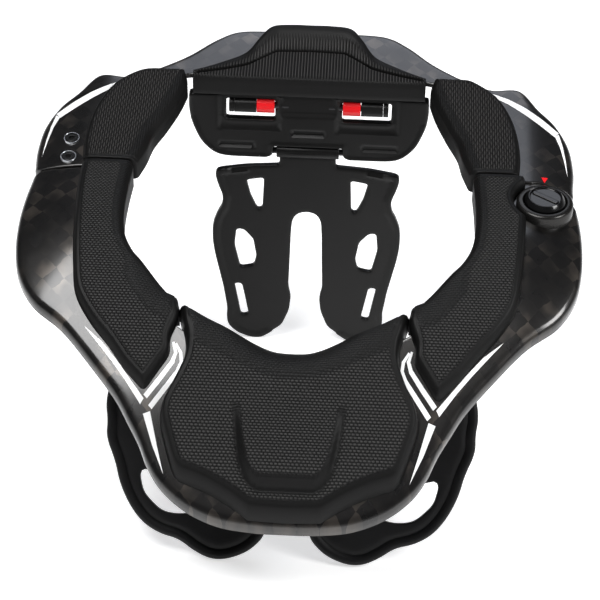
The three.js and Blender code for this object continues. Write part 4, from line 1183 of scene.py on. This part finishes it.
# Latch screws: black heads with a hexagonal socket, each in a thin bright ring
SOCKET_R, HEAD_R, RING_R = 2.05, 3.8, 4.5
for k in (1, 2):
    name = "latch_screw_%d" % k
    inverse = TO_ROW.inverted()
    solid = NODES[name]
    p = np.array([tuple(inverse @ (solid.matrix_world @ v.co)) for v in solid.data.vertices]) * 1000
    lo, hi = p.min(0), p.max(0)
    centre = (lo[0] + hi[0]) / 2, (lo[1] + hi[1]) / 2
    level, foot = hi[2] + 0.25, lo[2]
    behind, ahead = table_z(np.array([[centre[0], centre[1] + 1], [centre[0], centre[1] - 1]]))
    head = [(0, level - 1.9), (SOCKET_R - 0.15, level - 1.9), (SOCKET_R, level - 1.7)]
    head += [(SOCKET_R, level - 0.15), (SOCKET_R + 0.15, level), (HEAD_R - 0.4, level)]
    head += [(HEAD_R - 0.05, level - 0.25), (HEAD_R, level - 0.8), (HEAD_R, foot), (0, foot)]
    screw = turned(name + "_look", head, centre, 48)
    for v in screw.data.vertices:
        q = inverse @ v.co * 1000
        across, along = q.x - centre[0], q.y - centre[1]
        if 1.5 < math.hypot(across, along) < SOCKET_R + 0.05:
            flat = math.cos(math.pi / 6) / math.cos(math.atan2(along, across) % (math.pi / 3) - math.pi / 6)
            v.co = TO_ROW @ (Vector((centre[0] + across * flat, centre[1] + along * flat, q.z)) / 1000)
    put(screw, "rear", "steel", "screw", name)
    rows = [(RING_R - 0.55, level - 1.6), (RING_R - 0.55, level - 0.15), (RING_R - 0.4, level)]
    rows += [(RING_R - 0.15, level), (RING_R, level - 0.2), (RING_R, level - 1.6)]
    put(hoop(name + "_ring", rows, centre, 64, (behind - ahead) / 2), "rear", "steel", "bright")

# Barrel of the strut, between the plate's two knuckles
barrel = rod("strut_barrel", 0, BARREL_HALF - 0.4, BARREL_R, PLATE_Y, barrel_z)
put(barrel, "strut", "plastic", "plastic")

# The rest of the pieces
put(front_shell, "front", "shell", "carbon", "front_frame")
put(collar, "front", "shell", "satin")
put(rear_shell, "rear", "shell", "carbon", "rear_frame")
put(knob, "knob", "plastic", "gloss", "release_knob")
put(bar, "knob", "plastic", "gloss")
put(plate, "plate", "plastic", "plastic", "upper_plate")
put(strut, "strut", "plastic", "plastic", "strut")
for side, _ in SIDES:
    put(pieces["front_pad_" + side], "front", "foam", "front_foam", "front_pad_" + side)
    put(pieces["rear_pad_" + side], "rear", "foam", "rear_foam", "rear_pad_" + side)
    put(pieces["chest_pad_" + side], "front", "chest", "chest", "chest_pad_" + side)
put(pieces["front_pad_middle"], "front", "foam", "front_foam", "front_pad_middle")
put(pieces["rear_pad_middle"], "rear", "foam", "rib_foam", "rear_pad_middle")
for body, o in stripes:
    put(o, body, "shell", "white")
put(mark, "rear", "red", "red")

# Camera of the photograph
CAM_LIFT = math.radians(40)
CAM_ROLL = math.radians(0.98)
CAM_TURN = math.radians(2.17)
CAM_FAR = 1100.0
CAM_AIM = (0.0, -20.0, -40.0)
PIXELS = 600
PIXELS_PER_MM = 1.81
PICTURE_MIDDLE = 296.66
SENSOR = 36.0
cam_data = bpy.data.cameras.new("camera")
cam_data.sensor_width = SENSOR
cam_data.lens = SENSOR * PIXELS_PER_MM * CAM_FAR / PIXELS
cam = bpy.data.objects.new("camera", cam_data)
bpy.context.scene.collection.objects.link(cam)
back = Vector((
    math.sin(CAM_TURN) * math.cos(CAM_LIFT),
    -math.cos(CAM_TURN) * math.cos(CAM_LIFT),
    math.sin(CAM_LIFT),
))
side = Vector((math.cos(CAM_TURN), math.sin(CAM_TURN), 0))
turn = Matrix((side, back.cross(side), back)).transposed().to_4x4()
aim = Vector(CAM_AIM)
place = Matrix.Translation((aim + back * CAM_FAR) / 1000) @ turn @ Matrix.Rotation(CAM_ROLL, 4, "Z")
cam.matrix_world = TO_ROW @ place
cam_data.shift_x = (PIXELS / 2 - PICTURE_MIDDLE) / PIXELS
cam_data.clip_start = 0.05
cam_data.clip_end = 20
bpy.context.scene.camera = cam

# Pale floor and soft light
FLOOR_HALF = 6.0
me = bpy.data.meshes.new("floor")
corners = [(-1, -1), (1, -1), (1, 1), (-1, 1)]
me.from_pydata([(x * FLOOR_HALF, y * FLOOR_HALF, 0) for x, y in corners], [], [(0, 1, 2, 3)])
floor = bpy.data.objects.new("floor", me)
bpy.context.scene.collection.objects.link(floor)
floor_look, floor_tree, floor_bsdf = new_material("floor")
speck = noise(floor_tree, None, 3).outputs[0]
speck = ramp(floor_tree, speck, tinted(WHITE, (0.3, 0.93), (0.7, 0.95)))
link(floor_tree, speck, floor_bsdf.inputs["Base Color"])
floor_bsdf.inputs["Roughness"].default_value = 0.9
floor_bsdf.inputs["Emission Color"].default_value = (1, 1, 1, 1)
reach = node(floor_tree, "ShaderNodeVectorMath", operation="LENGTH")
link(floor_tree, own_place(floor_tree), reach.inputs[0])
far = maths(floor_tree, "MULTIPLY", reach.outputs["Value"], 1 / FLOOR_HALF)
glow = ramp(floor_tree, far, tinted(WHITE, (0.1, 0.58), (0.4, 0.88)))
link(floor_tree, glow, floor_bsdf.inputs["Emission Strength"])
me.materials.append(floor_look)
world = bpy.data.worlds.new("studio")
world.use_nodes = True
sky_tree = world.node_tree
level = sky_tree.nodes.new("ShaderNodeSeparateXYZ")
link(sky_tree, sky_tree.nodes.new("ShaderNodeTexCoord").outputs["Generated"], level.inputs[0])
stops = [(0, (0.95, 0.95, 0.96)), (0.05, (0.7, 0.7, 0.71)), (0.2, (0.085, 0.085, 0.09))]
sky = ramp(sky_tree, level.outputs[2], stops)
link(sky_tree, sky, sky_tree.nodes["Background"].inputs[0])
bpy.context.scene.world = world
bpy.context.scene.view_settings.view_transform = "Standard"


def lamp(name, at, to, size, power, colour=(1, 1, 1)):
    data = bpy.data.lights.new(name, "AREA")
    data.color = colour
    data.size = size
    data.energy = power
    o = bpy.data.objects.new(name, data)
    bpy.context.scene.collection.objects.link(o)
    o.location = at
    o.rotation_euler = (Vector(to) - Vector(at)).to_track_quat("-Z", "Y").to_euler()


lamp("overhead", (-0.34, -0.42, 1.3), (0, 0, 0.1), 0.72, 17)
lamp("right", (1.0, -0.5, 0.9), (0, 0, 0.1), 0.5, 11)
lamp("rear", (0.1, 0.95, 1.4), (0, 0.1, 0.15), 0.8, 4, (0.86, 0.9, 1.0))
